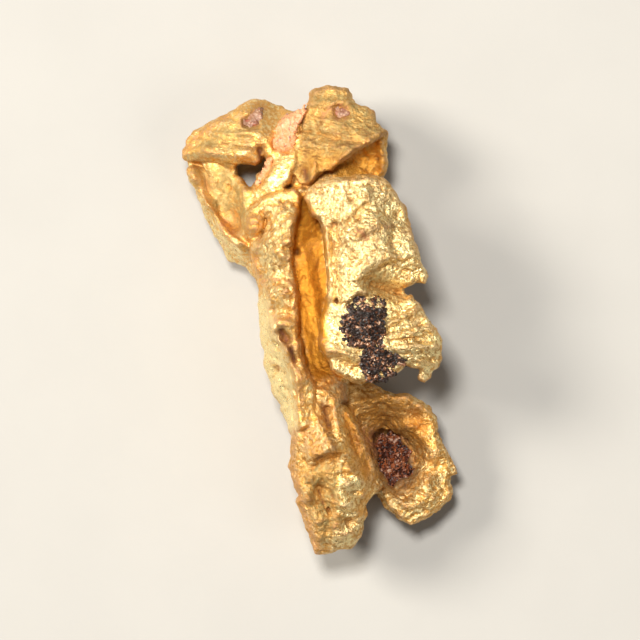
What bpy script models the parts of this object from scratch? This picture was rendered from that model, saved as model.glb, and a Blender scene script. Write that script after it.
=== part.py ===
"""A gold nugget of folded sheets and plates, with quartz and ironstone set in it.

It lies on its back: +Y runs along its length, +Z is up, and z = 0 is the surface that it rests on.
Every size below is in millimetres. The finished meshes are turned into metres at the end.
"""
import bmesh
import bpy
import numpy as np
from mathutils import Matrix, Vector, noise
from mathutils.geometry import delaunay_2d_cdt

MM = 0.001  # metres in a millimetre

# The whole nugget.
LENGTH = 22.0
WIDTH = 13.0
HEIGHT = 9.0  # every part of the nugget is lower than this
REST_PLANE = 0.0
BELOW_REST = -5.0  # every part of the nugget is higher than this

# How the gold sheets are built.
SHEET_STEP = 0.15  # spacing of the points that a sheet is built on
CLEAR_OF_EDGE = 0.55  # how near to an outline inner points may lie, in steps
JOIN_WITHIN = 1e-6
SOFTNESS = 0.5  # how roundly a sheet passes through its heights
EDGE = 0.45  # thickness at a sheet's very edge, as a share of its thickness inside
LEAST_THICKNESS = 0.2
KEEL_RIM = 0.15

# How the sheets are grown into one body.
VOXEL = 0.11  # grain of the joined gold
LUMP_SIZE = 1.3
LUMP_HEIGHT = 0.1
LUMP_OCTAVES = 3
LUMP_SHIFT = (3.0, 5.1, 1.8)  # where in the noise the lumps are read
GOLD_TRIANGLES = 8200
GOLD_COLOR = (0.83, 0.52, 0.16)
GOLD_ROUGHNESS = 0.35

# The stones and their sockets.
FIT_GAP = 0.05  # left between the gold and each stone set in it
STONE_STEP = 0.28
STONE_RIM = 0.3
STONE_GRAIN = 0.35  # size of the bumps on a stone
STONE_OCTAVES = 2
STONE_ROUGHNESS = 0.55
SHARPEST_CORNER = 0.6  # limits how far a socket's corners reach out

# Each sheet has an outline of (x, y), heights of its upper side and heights of its under side, both
# as (x, y, z), and the width of its rounded rim. Relief is (height, width, line): a ridge, or a pit
# if below 0.

WING = {
    "outline": [
        (-6.48, 7.91), (-6.29, 8.19), (-6.29, 8.42), (-5.87, 8.85), (-5.27, 9.17), (-5.03, 9.41),
        (-4.47, 9.66), (-3.77, 9.97), (-3.30, 10.30), (-2.97, 10.37), (-2.60, 10.37), (-1.80, 10.11),
        (-1.43, 9.85), (-0.96, 9.73), (-0.82, 8.42), (-0.96, 7.25), (-1.43, 6.32), (-2.13, 5.76),
        (-2.60, 4.90), (-2.60, 1.60), (-2.83, 1.59), (-3.30, 2.11), (-3.49, 2.57), (-3.72, 2.71),
        (-4.28, 2.85), (-4.70, 3.46), (-5.12, 4.26), (-5.41, 4.77), (-5.64, 5.52), (-5.87, 5.94),
        (-5.87, 6.18), (-6.11, 6.65), (-6.25, 7.39), (-6.39, 7.63),
    ],
    "top": [
        # the upper fold, then its back rim
        (-6.1, 8.3, 3.2), (-5.2, 8.9, 3.6), (-4.3, 9.4, 3.9), (-3.3, 9.9, 4.0), (-4.6, 8.3, 4.3),
        (-3.4, 8.4, 4.7), (-2.6, 9.1, 4.4), (-3.0, 7.9, 4.8), (-4.2, 7.75, 4.4), (-5.4, 7.75, 3.8),
        (-6.2, 7.8, 3.2), (-2.6, 10.2, 3.2), (-1.9, 9.9, 3.0),
        # the lower fold, its rim and the wall outside the rim
        (-5.8, 7.2, 2.8), (-5.0, 7.0, 3.0), (-4.1, 6.9, 3.4), (-4.9, 5.9, 3.0), (-4.0, 5.5, 3.5),
        (-3.5, 5.4, 4.0), (-4.2, 4.6, 3.3), (-3.6, 4.3, 4.0), (-3.4, 3.5, 4.2), (-5.95, 6.7, 3.1),
        (-5.3, 5.4, 3.3), (-4.6, 4.2, 3.5), (-3.9, 3.4, 3.8), (-6.0, 6.1, 2.4), (-5.5, 5.0, 2.3),
        (-4.9, 3.9, 2.3), (-4.2, 2.95, 2.5), (-3.6, 2.9, 3.3), (-3.2, 2.2, 3.5),
        # the smooth tongue beside the hole, and the seat of the wedge
        (-2.2, 7.6, 4.7), (-2.2, 6.6, 5.1), (-1.6, 7.5, 5.0), (-1.6, 8.8, 4.3), (-1.2, 9.6, 4.1),
    ],
    "under": [
        (-6.0, 8.0, 2.1), (-4.6, 9.0, 2.4), (-4.3, 7.2, 1.8), (-5.1, 6.2, 1.2), (-4.3, 4.2, 1.3),
        (-3.0, 9.8, 2.2), (-2.0, 7.0, 2.2), (-2.8, 4.5, 1.6), (-3.0, 2.4, 1.7), (-1.5, 9.2, 2.0),
    ],
    "rim": 0.3,
    "relief": [
        (-0.6, 0.3, [(-6.1, 7.4), (-5.2, 7.35), (-4.3, 7.2), (-3.9, 7.0)]),
        (0.3, 0.2, [(-6.0, 7.1), (-5.6, 6.2), (-5.1, 5.1), (-4.4, 4.0), (-3.7, 3.2)]),
        (-0.3, 0.4, [(-4.9, 6.2), (-4.5, 5.2), (-4.1, 4.5)]),
        (0.25, 0.25, [(-3.6, 6.1), (-3.5, 5.0), (-3.4, 4.2)]),
        (-0.2, 0.35, [(-5.6, 8.55), (-4.4, 8.15), (-3.3, 8.3)]),
        (0.2, 0.25, [(-5.3, 8.1), (-4.4, 7.8), (-3.4, 7.9)]),
        (-0.6, 0.22, [(-2.82, 7.95)]),
    ],
}

BLOCK_FACE = {
    "outline": [
        (-0.54, 10.34), (-0.49, 10.67), (-0.26, 10.81), (0.02, 10.93), (0.35, 11.0), (0.73, 10.95),
        (1.29, 10.86), (1.43, 10.62), (1.45, 10.34), (1.76, 10.04), (2.18, 9.97), (2.50, 9.83),
        (2.60, 9.50), (2.69, 9.17), (2.83, 9.03), (3.21, 8.80), (2.88, 8.61), (2.55, 8.38),
        (2.08, 8.14), (1.61, 7.86), (1.05, 7.44), (0.82, 7.25), (0.54, 7.02), (0.07, 6.88),
        (-0.35, 6.4), (-0.95, 6.3), (-1.3, 6.9), (-1.10, 7.96), (-1.05, 8.61), (-0.82, 9.45),
        (-0.54, 9.92),
    ],
    "top": [
        (-0.2, 10.6, 4.4), (0.9, 10.7, 4.6), (1.3, 10.2, 4.8), (2.4, 9.6, 5.0), (3.1, 8.8, 5.4),
        (-0.6, 9.4, 4.5), (-0.9, 8.4, 4.7), (0.3, 9.2, 5.1), (1.8, 9.0, 5.5), (0.4, 8.2, 5.5),
        (1.6, 8.1, 6.1), (2.4, 8.5, 5.9), (1.1, 7.7, 6.2), (0.3, 7.2, 5.8), (-0.6, 7.2, 5.3),
        (-1.1, 7.6, 5.0), (-0.5, 6.6, 5.5),
    ],
    "under": [(0.0, 10.0, 2.9), (2.4, 9.4, 3.3), (2.8, 8.7, 4.2), (1.2, 7.8, 4.6), (-0.5, 7.0, 3.6)],
    "rim": 0.2,
    "relief": [
        (-0.2, 0.18, [(-0.9, 8.85), (0.4, 8.6), (1.1, 8.4), (2.1, 8.3)]),
        (0.2, 0.2, [(-0.9, 8.3), (0.4, 8.1), (1.3, 7.95)]),
        (0.35, 0.2, [(-0.25, 7.4), (-0.35, 6.8), (-0.5, 6.2)]),
        (-0.3, 0.3, [(-0.8, 7.1), (-0.9, 6.6)]),
        (0.2, 0.25, [(-0.3, 10.2), (0.5, 10.1), (1.2, 10.3)]),
        (0.25, 0.2, [(3.0, 8.75), (2.3, 8.35), (1.6, 7.95), (1.0, 7.5)]),
    ],
}

BLOCK_BACK = {
    "outline": [
        (-0.54, 10.2), (-0.1, 10.7), (1.2, 10.7), (1.4, 10.2), (2.3, 9.9), (2.6, 9.2), (3.15, 8.80),
        (3.16, 8.56), (3.11, 8.19), (3.09, 7.86), (3.18, 7.25), (3.11, 7.02), (2.93, 6.74), (2.55, 5.9),
        (1.15, 5.3), (-0.8, 5.3), (-1.4, 6.1), (-1.4, 7.3), (-0.95, 8.6), (-0.75, 9.5),
    ],
    "top": [
        (2.9, 8.5, 4.4), (3.0, 7.5, 4.0), (2.4, 7.8, 4.1), (2.8, 6.9, 3.8), (1.5, 7.2, 4.3),
        (0.8, 6.8, 4.6), (-0.5, 7.0, 4.8), (0.0, 10.3, 3.8), (2.2, 9.6, 4.3), (-0.6, 8.5, 4.1),
        (1.2, 5.8, 4.6),
    ],
    "under": [
        (0.0, 10.2, 2.2), (2.1, 9.3, 2.2), (2.9, 7.7, 1.6), (1.0, 8.4, 1.4), (-0.6, 7.2, 1.3),
        (1.5, 6.2, 1.7),
    ],
    "rim": 0.3,
    "relief": [
        (-0.3, 0.4, [(1.7, 7.5), (2.5, 7.6)]),
        (0.2, 0.25, [(2.9, 8.3), (3.0, 7.0)]),
    ],
}

SPINE = {
    "outline": [
        (-3.30, 5.38), (-3.58, 4.91), (-3.63, 4.31), (-3.39, 3.74), (-3.21, 3.04), (-3.11, 2.34),
        (-2.83, 1.54), (-2.90, 0.37), (-2.78, -0.84), (-2.60, -1.68), (-2.60, -2.11), (-2.36, -2.85),
        (-2.13, -3.60), (-1.71, -3.98), (-1.80, -4.21), (-1.57, -4.68), (-1.29, -5.50), (-0.02, -4.80),
        (-0.12, -3.74), (-0.16, -3.09), (-0.49, -2.43), (-0.73, -1.64), (-0.96, -0.70), (-1.01, 1.17),
        (-1.19, 2.25), (-1.33, 2.71), (-1.24, 3.74), (-1.05, 4.68), (-0.82, 5.48), (-0.73, 5.80),
        (-1.19, 6.20), (-1.90, 6.20), (-2.74, 5.76),
    ],
    "top": [
        (-3.2, 4.5, 5.1), (-2.4, 5.2, 5.5), (-1.7, 4.9, 6.0), (-1.2, 5.0, 5.9), (-1.3, 5.8, 5.6),
        (-2.6, 3.9, 5.4), (-2.1, 3.3, 6.3), (-1.6, 3.2, 6.5), (-2.8, 1.7, 4.7), (-2.4, 1.0, 6.0),
        (-1.7, 0.9, 6.8), (-1.2, 1.0, 6.7), (-2.8, 0.0, 4.4), (-2.3, -0.2, 6.0), (-1.7, -0.4, 7.0),
        (-1.1, -0.5, 6.8), (-2.6, -1.4, 4.2), (-1.9, -1.2, 6.0), (-1.4, -1.5, 7.0), (-0.9, -1.6, 6.9),
        (-2.4, -2.6, 4.2), (-1.7, -2.4, 5.4), (-1.2, -2.7, 7.0), (-0.6, -3.0, 6.9), (-2.0, -3.6, 4.4),
        (-1.4, -3.8, 5.6), (-1.0, -3.8, 7.0), (-0.4, -4.0, 6.8), (-1.5, -4.8, 5.2), (-1.0, -4.8, 6.8),
        (-0.3, -4.9, 6.8),
    ],
    "under": [
        (-3.2, 4.6, 1.8), (-2.5, 2.6, 1.0), (-2.5, 0.0, 1.4), (-2.2, -2.4, 1.6), (-1.4, -4.6, 1.9),
        (-1.2, 4.0, 0.8), (-1.0, 0.0, 0.7), (-0.5, -3.5, 1.3),
    ],
    "rim": 0.22,
    "relief": [
        (0.4, 0.32, [(-3.1, 4.5)]),
        (-0.35, 0.2, [(-3.3, 3.7), (-2.8, 3.9), (-2.5, 4.7)]),
        (0.35, 0.4, [(-2.2, 2.2), (-1.8, 2.9)]),
        (-0.3, 0.25, [(-2.9, 2.9), (-2.5, 2.2)]),
        (-0.5, 0.35, [(-2.1, 0.5), (-1.4, 0.3)]),
        (0.3, 0.25, [(-2.3, 1.45), (-1.3, 1.4)]),
        (-0.6, 0.26, [(-1.75, -0.55), (-1.6, -0.85)]),
        (0.3, 0.22, [(-2.15, -0.4), (-1.75, -1.2), (-1.35, -2.2)]),
        (-0.3, 0.14, [(-1.35, -1.4), (-1.25, -1.9)]),
        (0.3, 0.3, [(-1.3, 4.6), (-1.5, 3.7)]),
        (-0.3, 0.3, [(-0.7, -3.6), (-0.6, -4.6)]),
    ],
}

CHANNEL = {
    "outline": [
        (-1.9, 5.6), (-1.0, 6.3), (1.2, 6.3), (1.5, 3.3), (1.4, 0.9), (1.3, -3.8), (-0.9, -4.7),
        (-1.7, -2.8), (-1.9, 0.9),
    ],
    "top": [
        (-0.9, 5.9, 5.2), (-0.5, 5.2, 4.6), (-0.3, 4.2, 4.1), (-0.3, 2.8, 4.0), (-0.4, 1.2, 4.1),
        (-0.4, -0.6, 4.4), (-0.3, -1.9, 4.9), (0.1, -2.6, 5.4), (0.3, -3.3, 6.1), (-0.9, 3.2, 4.1),
        (0.3, 3.0, 3.8), (0.2, 0.5, 4.0), (1.0, -3.2, 5.4),
    ],
    "under": [(0.0, 5.0, 1.2), (0.0, 2.0, 0.8), (0.0, -1.0, 1.1), (0.2, -3.5, 1.4)],
    "rim": 0.3,
    "relief": [
        (0.25, 0.25, [(-0.7, 3.0), (-0.4, 1.4), (-0.1, 0.0)]),
        (-0.3, 0.2, [(0.1, 2.4), (0.2, 1.6)]),
    ],
}

PLATE = {
    "outline": [
        (-0.54, 6.13), (-0.02, 6.46), (0.44, 6.60), (1.47, 6.65), (1.66, 6.76), (2.08, 6.79),
        (3.02, 6.65), (3.25, 6.41), (3.63, 5.76), (3.95, 5.29), (4.05, 4.91), (4.19, 4.21),
        (4.47, 3.60), (4.66, 3.18), (4.70, 2.76), (5.05, 2.06), (4.89, 1.75), (4.47, 1.75),
        (3.91, 1.45), (4.05, 1.08), (4.24, 1.10), (4.52, 0.84), (4.84, 0.28), (5.12, 0.02),
        (5.41, -0.42), (5.59, -0.84), (5.69, -1.40), (5.66, -1.78), (5.52, -2.20), (5.17, -2.34),
        (5.17, -2.71), (4.89, -2.95), (4.61, -2.76), (4.66, -2.34), (4.24, -2.20), (4.00, -2.06),
        (3.63, -2.39), (3.16, -2.71), (2.78, -2.81), (2.32, -2.81), (1.85, -2.97), (1.47, -2.90),
        (0.91, -2.62), (0.59, -2.34), (0.49, -1.97), (0.07, -1.40), (-0.02, -1.17), (-0.02, -0.70),
        (0.02, -0.23), (0.16, 0.70), (0.35, 1.40), (0.40, 2.11), (0.21, 3.04), (0.14, 3.74),
        (0.16, 4.17), (-0.02, 4.68), (-0.35, 4.82), (-0.54, 5.15), (-0.68, 5.71),
    ],
    "top": [
        (-0.4, 5.8, 6.7), (0.4, 6.3, 7.2), (2.1, 6.5, 7.4), (3.0, 6.4, 7.2), (1.1, 5.6, 7.7),
        (2.5, 5.4, 7.9), (3.7, 4.9, 7.4), (0.2, 4.2, 7.4), (1.4, 4.2, 8.2), (2.8, 4.0, 8.3),
        (4.1, 4.0, 7.7), (0.4, 2.3, 7.8), (1.4, 2.6, 8.5), (2.5, 2.7, 8.3), (4.4, 3.0, 7.8),
        (4.8, 2.1, 7.4), (0.9, 0.9, 8.2), (0.2, 0.5, 7.6), (0.2, -0.9, 7.7), (0.7, -1.6, 7.9),
        (1.1, -2.4, 7.6), (3.5, 1.2, 7.3), (4.4, 0.5, 7.6), (3.7, -0.5, 8.1), (5.1, -1.2, 7.6),
        (4.7, -2.0, 7.6), (3.7, -2.0, 7.9), (4.9, -2.7, 7.0), (2.0, -1.0, 7.8),
    ],
    "under": [
        (-0.4, 5.5, 5.3), (1.5, 6.2, 5.6), (3.2, 5.6, 6.1), (0.4, 3.0, 5.4), (2.2, 3.0, 5.8),
        (4.2, 3.2, 6.5), (4.8, 2.0, 6.5), (0.5, 0.0, 5.5), (2.4, 0.0, 5.5), (4.3, 0.4, 6.4),
        (5.3, -1.2, 6.6), (3.6, -1.6, 6.2), (4.9, -2.6, 6.3), (1.0, -2.2, 5.8), (2.6, -2.5, 5.8),
    ],
    "rim": 0.2,
    "relief": [
        (-0.35, 0.22, [(0.6, 4.4), (0.68, 3.7), (0.63, 2.7), (0.73, 1.4), (0.78, 0.85)]),
        (0.15, 0.16, [(0.3, 4.2), (0.38, 2.4), (0.5, 1.0)]),
        (-0.3, 0.25, [(2.08, 5.4), (1.5, 4.9), (1.0, 4.45)]),
        (-1.2, 0.45, [(2.2, 1.75), (2.9, 1.5), (3.8, 1.25)]),
        (0.35, 0.25, [(1.9, 2.1), (2.4, 2.75), (3.6, 2.9)]),
        (-0.3, 0.3, [(4.0, 4.5)]),
        (-0.35, 0.17, [(1.45, 6.5), (1.45, 5.5)]),
        (-0.35, 0.17, [(2.45, 6.5), (2.4, 5.7)]),
        (0.25, 0.18, [(3.2, -0.2), (4.4, 0.35)]),
        (0.25, 0.18, [(3.2, -0.85), (5.1, -0.45)]),
        (0.25, 0.18, [(3.5, -1.35), (5.4, -1.3)]),
        (-0.25, 0.3, [(0.9, 3.4), (1.5, 3.0)]),
        (0.25, 0.3, [(1.6, 4.0), (2.6, 4.5)]),
        (0.22, 0.2, [(0.4, -1.4), (1.0, -1.45), (1.8, -1.8)]),
        (-0.25, 0.2, [(0.5, -1.8), (1.1, -1.95), (1.8, -2.2)]),
    ],
}

PLATE_ROOT = {
    "outline": [
        (-0.2, 6.0), (0.4, 6.3), (2.6, 6.3), (3.0, 5.0), (2.5, 3.2), (2.1, 1.0), (2.5, -1.2),
        (2.2, -2.4), (1.2, -2.7), (0.7, -2.0), (0.3, -1.2), (0.2, -0.4), (0.5, 1.4), (0.55, 2.6),
        (0.3, 4.0), (-0.1, 4.9),
    ],
    "top": [(1.0, 5.0, 6.4), (1.0, 0.0, 6.4)],
    "under": [(0.5, 5.4, 1.4), (2.0, 5.0, 2.4), (1.4, 2.6, 1.6), (1.4, -0.4, 1.6), (1.6, -2.2, 2.6)],
    "rim": 0.3,
    "relief": [(0.5, 0.4, [(2.2, 4.4), (1.6, 3.4)])],
}

FOOT = {
    "outline": [
        (-1.33, -5.80), (-1.33, -6.32), (-1.45, -6.90), (-1.33, -7.39), (-1.01, -8.19), (-1.10, -8.52),
        (-0.82, -9.08), (-0.63, -9.83), (-0.49, -10.20), (-0.35, -10.76), (-0.26, -10.95),
        (0.30, -11.0), (0.91, -10.81), (1.52, -10.72), (1.66, -10.44), (1.94, -10.06), (2.04, -9.83),
        (1.99, -9.45), (2.22, -9.13), (2.13, -8.75), (2.32, -8.38), (2.64, -8.14), (2.92, -7.82),
        (2.69, -7.02), (2.36, -6.32), (2.08, -5.62), (1.76, -4.91), (1.38, -4.31), (1.05, -3.98),
        (0.9, -3.3), (-0.02, -3.5), (-0.96, -4.21), (-1.29, -5.38),
    ],
    "top": [
        (-1.0, -5.6, 6.3), (0.0, -5.4, 7.0), (0.5, -5.8, 7.2), (1.1, -5.4, 6.5), (0.2, -3.9, 6.3),
        (1.0, -4.2, 5.9), (1.8, -5.8, 5.7), (2.3, -6.8, 5.1), (2.6, -7.8, 4.7), (-1.1, -7.0, 5.7),
        (-0.5, -7.2, 6.4), (0.7, -7.2, 6.6), (1.6, -7.5, 6.0), (-0.7, -8.6, 5.6), (0.2, -8.6, 6.3),
        (1.4, -8.4, 6.0), (2.1, -8.4, 5.2), (-0.4, -9.8, 5.3), (0.5, -9.8, 6.0), (1.4, -9.6, 5.7),
        (-0.1, -10.7, 4.8), (1.2, -10.5, 5.1),
    ],
    "under": [
        (-0.8, -5.0, 2.2), (0.5, -4.5, 2.0), (-0.9, -7.0, 3.2), (1.2, -6.4, 1.8), (2.3, -7.2, 2.4),
        (0.3, -8.4, 2.0), (0.6, -9.7, 2.0), (-0.1, -10.7, 2.8), (1.8, -9.4, 2.8), (1.2, -10.6, 2.6),
    ],
    "rim": 0.25,
    "relief": [
        (-0.4, 0.2, [(0.25, -3.9), (0.35, -4.5), (0.4, -5.0)]),
        (0.3, 0.22, [(0.65, -3.9), (0.85, -4.8), (1.1, -5.6), (1.3, -6.4)]),
        (-0.4, 0.2, [(1.1, -4.2), (1.4, -5.1), (1.7, -6.1)]),
        (0.3, 0.16, [(1.1, -4.0), (1.7, -4.9), (2.1, -5.7), (2.4, -6.4), (2.7, -7.2)]),
        (-0.5, 0.28, [(0.7, -6.4), (0.2, -6.55), (-0.4, -6.8)]),
        (0.35, 0.25, [(0.6, -5.9), (0.1, -6.1), (-0.3, -6.3)]),
        (0.3, 0.22, [(-0.9, -7.6), (-0.3, -9.0), (0.0, -10.2)]),
        (0.25, 0.2, [(-0.95, -8.4), (-0.6, -8.3)]),
        (0.22, 0.2, [(1.4, -7.0), (2.0, -7.4), (1.9, -8.2)]),
        (-0.4, 0.32, [(0.1, -7.8), (0.4, -8.9)]),
        (-0.35, 0.3, [(1.0, -8.9), (1.3, -9.6)]),
    ],
}

LOBE = {
    "outline": [
        (0.9, -2.9), (1.85, -3.0), (2.41, -3.04), (2.88, -3.28), (3.53, -3.56), (4.24, -3.53),
        (4.89, -3.88), (5.31, -4.26), (5.55, -4.96), (5.73, -5.76), (6.06, -6.32), (6.44, -6.93),
        (6.48, -7.25), (6.15, -7.42), (6.06, -7.58), (6.20, -7.91), (6.20, -8.19), (5.83, -8.61),
        (5.41, -9.08), (4.84, -9.45), (4.33, -9.64), (3.72, -9.31), (3.11, -8.70), (2.69, -8.14),
        (2.0, -7.4), (1.3, -6.1), (0.6, -4.7), (0.3, -3.5),
    ],
    "top": [
        (1.2, -3.2, 3.9), (2.4, -3.3, 3.7), (3.7, -3.8, 3.6), (4.9, -4.2, 3.4), (5.4, -5.2, 3.1),
        (5.9, -6.5, 3.0), (6.2, -7.2, 2.7), (6.0, -8.2, 2.9), (5.2, -9.0, 3.1), (4.2, -9.4, 3.3),
        (3.3, -8.7, 3.5), (2.7, -8.0, 3.5), (3.2, -5.8, 0.8), (3.6, -6.7, 1.1), (3.1, -7.3, 1.5),
        (3.7, -7.5, 1.8), (2.2, -5.2, 2.3), (2.5, -6.4, 2.2), (3.3, -4.6, 2.5), (4.2, -5.2, 2.7),
        (4.9, -6.6, 2.8), (4.4, -8.0, 3.2), (2.2, -4.2, 3.0),
    ],
    "under": [
        (1.2, -3.6, 1.8), (2.4, -3.6, 2.3), (3.8, -3.9, 2.3), (5.2, -4.8, 2.1), (4.2, -6.0, 0.0),
        (4.6, -7.2, -0.3), (6.2, -7.2, 1.7), (5.2, -8.9, 2.0), (3.4, -8.7, 1.7), (3.5, -7.9, 0.1),
        (3.2, -6.2, -0.2), (2.0, -5.2, 0.9), (4.2, -9.4, 2.2), (3.6, -7.4, 0.1), (5.4, -6.4, 0.9),
        (5.2, -7.8, 0.9),
    ],
    "rim": 0.25,
    "relief": [
        (0.2, 0.25, [(3.7, -5.1), (3.9, -4.8)]),
        (0.35, 0.3, [(4.6, -5.6), (5.0, -6.4), (5.3, -7.4)]),
        (-0.3, 0.3, [(5.5, -6.9), (5.7, -7.8)]),
        (0.2, 0.2, [(3.4, -8.2), (4.2, -8.7), (5.2, -8.3)]),
        (-0.2, 0.2, [(4.2, -4.4), (4.8, -5.0)]),
    ],
}

BACK = {
    "outline": [
        (-2.6, 5.8), (-1.0, 7.9), (1.6, 9.2), (2.5, 7.5), (2.3, 4.5), (2.1, 1.0), (1.8, -1.8),
        (1.4, -3.6), (2.1, -5.6), (2.3, -7.2), (0.5, -9.0), (-0.5, -7.0), (-1.1, -4.6), (-2.1, -1.9),
        (-2.4, 1.4),
    ],
    "top": [(0.0, 6.0, 3.9), (0.0, 0.0, 3.9), (0.5, -6.0, 3.6)],
    "under": [
        (-1.5, 5.0, 0.5), (0.8, 8.0, 0.9), (1.5, 5.0, 0.7), (1.2, 2.0, 1.3), (-1.0, 2.2, 0.5),
        (-0.8, -1.2, 0.5), (1.0, -1.6, 1.2), (0.4, -4.6, 0.8), (1.2, -6.6, 1.0), (0.3, -8.2, 1.3),
    ],
    "rim": 0.5,
    "relief": [],
}

# Folds that stand on edge under the sheets: (x, y, half width, height of the fold's lower edge).
KEEL_TOP = 3.0
KEELS = [
    [
        (-5.3, 8.5, 0.5, 1.7), (-4.9, 7.9, 0.7, 0.5), (-4.75, 7.0, 0.7, -0.35), (-4.7, 6.1, 0.6, 0.2),
        (-4.2, 5.3, 0.8, 0.6), (-3.4, 4.4, 0.9, 0.3), (-2.8, 3.2, 0.7, 0.9),
    ],
    [
        (-2.3, 9.7, 0.5, 1.6), (-2.0, 8.7, 0.6, 0.8), (-1.8, 7.2, 0.6, 0.3), (-1.6, 5.6, 0.8, 0.2),
        (-1.2, 3.6, 0.9, 0.0), (-1.7, 1.8, 0.8, 0.4),
    ],
    [
        (0.1, 10.2, 0.5, 1.5), (1.0, 9.7, 0.7, 0.7), (1.9, 9.0, 0.8, -0.35), (2.2, 8.1, 0.7, 0.1),
        (2.1, 7.1, 0.7, 0.7), (1.7, 5.9, 0.7, 0.4), (1.8, 4.4, 0.6, 0.2), (1.3, 2.9, 0.7, 0.5),
    ],
    [
        (2.2, 2.8, 0.4, 1.6), (1.9, 1.2, 0.6, 0.8), (1.5, -0.2, 0.7, 0.2), (1.6, -1.6, 0.5, 0.7),
        (1.1, -2.9, 0.6, 0.9),
    ],
    [
        (-2.0, 0.6, 0.5, 0.9), (-1.6, -0.9, 0.7, 0.1), (-0.9, -2.2, 0.7, 0.0), (-0.5, -3.8, 0.6, 0.6),
        (0.1, -5.0, 0.6, 0.9),
    ],
    [
        (1.5, -4.6, 0.5, 0.9), (1.2, -6.0, 0.7, 0.5), (0.8, -7.4, 0.8, 0.6), (0.5, -8.7, 0.8, 0.0),
        (0.6, -9.5, 0.8, -0.35), (0.4, -10.3, 0.5, 0.9),
    ],
]

SHEETS = [WING, BLOCK_FACE, BLOCK_BACK, SPINE, CHANNEL, PLATE, PLATE_ROOT, FOOT, LOBE, BACK]

# The heart-shaped hole that goes right through the wing.
HEART = [
    (-4.00, 7.30), (-3.53, 7.37), (-3.02, 7.25), (-2.78, 7.44), (-2.69, 7.72), (-2.50, 7.49),
    (-2.50, 7.10), (-2.97, 6.79), (-3.02, 6.50), (-3.20, 6.22), (-3.35, 6.22), (-3.63, 6.55),
    (-3.86, 6.93),
]

# Each stone has an outline, heights of its upper side, the floor of its socket in the gold, the
# height of its bumps and the place in the noise that they are read from.
STONES = {
    "quartz_wedge": {
        "outline": [
            (-1.99, 9.27), (-1.66, 9.59), (-0.96, 9.87), (-0.6, 10.2), (-0.62, 9.85), (-0.90, 9.40),
            (-1.1, 8.70), (-1.15, 8.1), (-1.45, 7.85), (-2.13, 7.96), (-2.32, 8.33), (-2.13, 8.66),
        ],
        "top": [
            (-1.8, 9.2, 4.4), (-0.8, 9.9, 4.4), (-1.3, 9.0, 4.75), (-1.4, 8.1, 4.8), (-2.1, 8.3, 4.6),
        ],
        "floor": 3.4,
        "bumps": 0.15,
        "seed": 1.0,
        "color": (0.78, 0.45, 0.30),
    },
    "quartz_hole_edge": {
        "outline": [
            (-2.45, 7.60), (-2.20, 7.60), (-2.20, 7.35), (-2.42, 6.85), (-2.95, 6.25), (-3.05, 6.42),
            (-2.75, 6.95),
        ],
        "top": [(-2.3, 7.5, 4.6), (-2.5, 7.0, 4.5), (-2.9, 6.4, 4.3)],
        "floor": 3.4,
        "bumps": 0.1,
        "seed": 2.0,
        "color": (0.72, 0.42, 0.36),
    },
    "quartz_top_left": {
        "outline": [
            (-3.70, 9.15), (-3.55, 9.55), (-3.10, 9.75), (-2.75, 9.55), (-2.80, 9.25), (-3.10, 9.0),
            (-3.45, 8.98),
        ],
        "top": [(-3.5, 9.2, 4.3), (-3.1, 9.6, 4.2), (-2.9, 9.2, 4.4)],
        "floor": 3.5,
        "bumps": 0.12,
        "seed": 3.0,
        "color": (0.50, 0.32, 0.30),
    },
    "quartz_top_right": {
        "outline": [
            (0.60, 9.75), (0.75, 10.02), (1.10, 10.08), (1.50, 9.85), (1.60, 9.50), (1.30, 9.38),
            (0.85, 9.45),
        ],
        "top": [(0.8, 9.8, 4.95), (1.4, 9.7, 5.05), (1.1, 9.5, 5.1)],
        "floor": 4.2,
        "bumps": 0.12,
        "seed": 4.0,
        "color": (0.50, 0.30, 0.24),
    },
    "pocket_quartz": {
        "outline": [
            (2.80, -5.55), (3.20, -5.35), (3.60, -5.70), (4.00, -6.10), (4.25, -6.80), (4.15, -7.50),
            (3.60, -7.80), (3.05, -7.60), (2.80, -7.0), (2.75, -6.3),
        ],
        "top": [(3.1, -5.8, 1.3), (3.7, -6.2, 1.8), (3.0, -6.8, 1.7), (3.9, -6.9, 2.0), (3.5, -7.4, 2.1)],
        "floor": 0.75,
        "bumps": 0.25,
        "seed": 5.0,
        "color": (0.36, 0.13, 0.07),
    },
    "ironstone": {
        "outline": [
            (1.76, 1.22), (2.41, 1.12), (3.02, 0.90), (3.15, 0.50), (3.05, -0.25), (3.20, -0.70),
            (3.02, -0.98), (3.30, -1.42), (3.85, -1.65), (3.95, -2.05), (3.35, -2.60), (2.75, -2.78),
            (2.32, -2.78), (1.95, -2.35), (1.95, -1.70), (2.05, -1.30), (1.40, -1.30), (1.05, -1.20),
            (1.12, -0.95), (0.98, -0.40), (1.10, 0.25), (1.35, 0.85),
        ],
        "top": [
            (1.9, 1.0, 8.2), (2.8, 0.6, 8.0), (1.4, 0.2, 8.4), (2.2, 0.0, 8.7), (2.8, -0.5, 8.3),
            (1.3, -0.9, 8.2), (2.4, -1.3, 8.3), (3.3, -1.8, 8.3), (2.5, -2.3, 8.1), (3.0, -2.4, 7.9),
        ],
        "floor": 6.7,
        "bumps": 0.3,
        "seed": 6.0,
        "color": (0.05, 0.025, 0.015),
    },
}


def clear_scene():
    """Leave the file with no objects."""
    for obj in list(bpy.data.objects):
        bpy.data.objects.remove(obj, do_unlink=True)


def principled(name, color, metallic, roughness):
    """A plain material with one colour."""
    material = bpy.data.materials.new(name)
    material.use_nodes = True
    shader = material.node_tree.nodes["Principled BSDF"]
    shader.inputs["Base Color"].default_value = (*color, 1.0)
    shader.inputs["Metallic"].default_value = metallic
    shader.inputs["Roughness"].default_value = roughness
    material.diffuse_color = (*color, 1.0)
    return material


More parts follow.
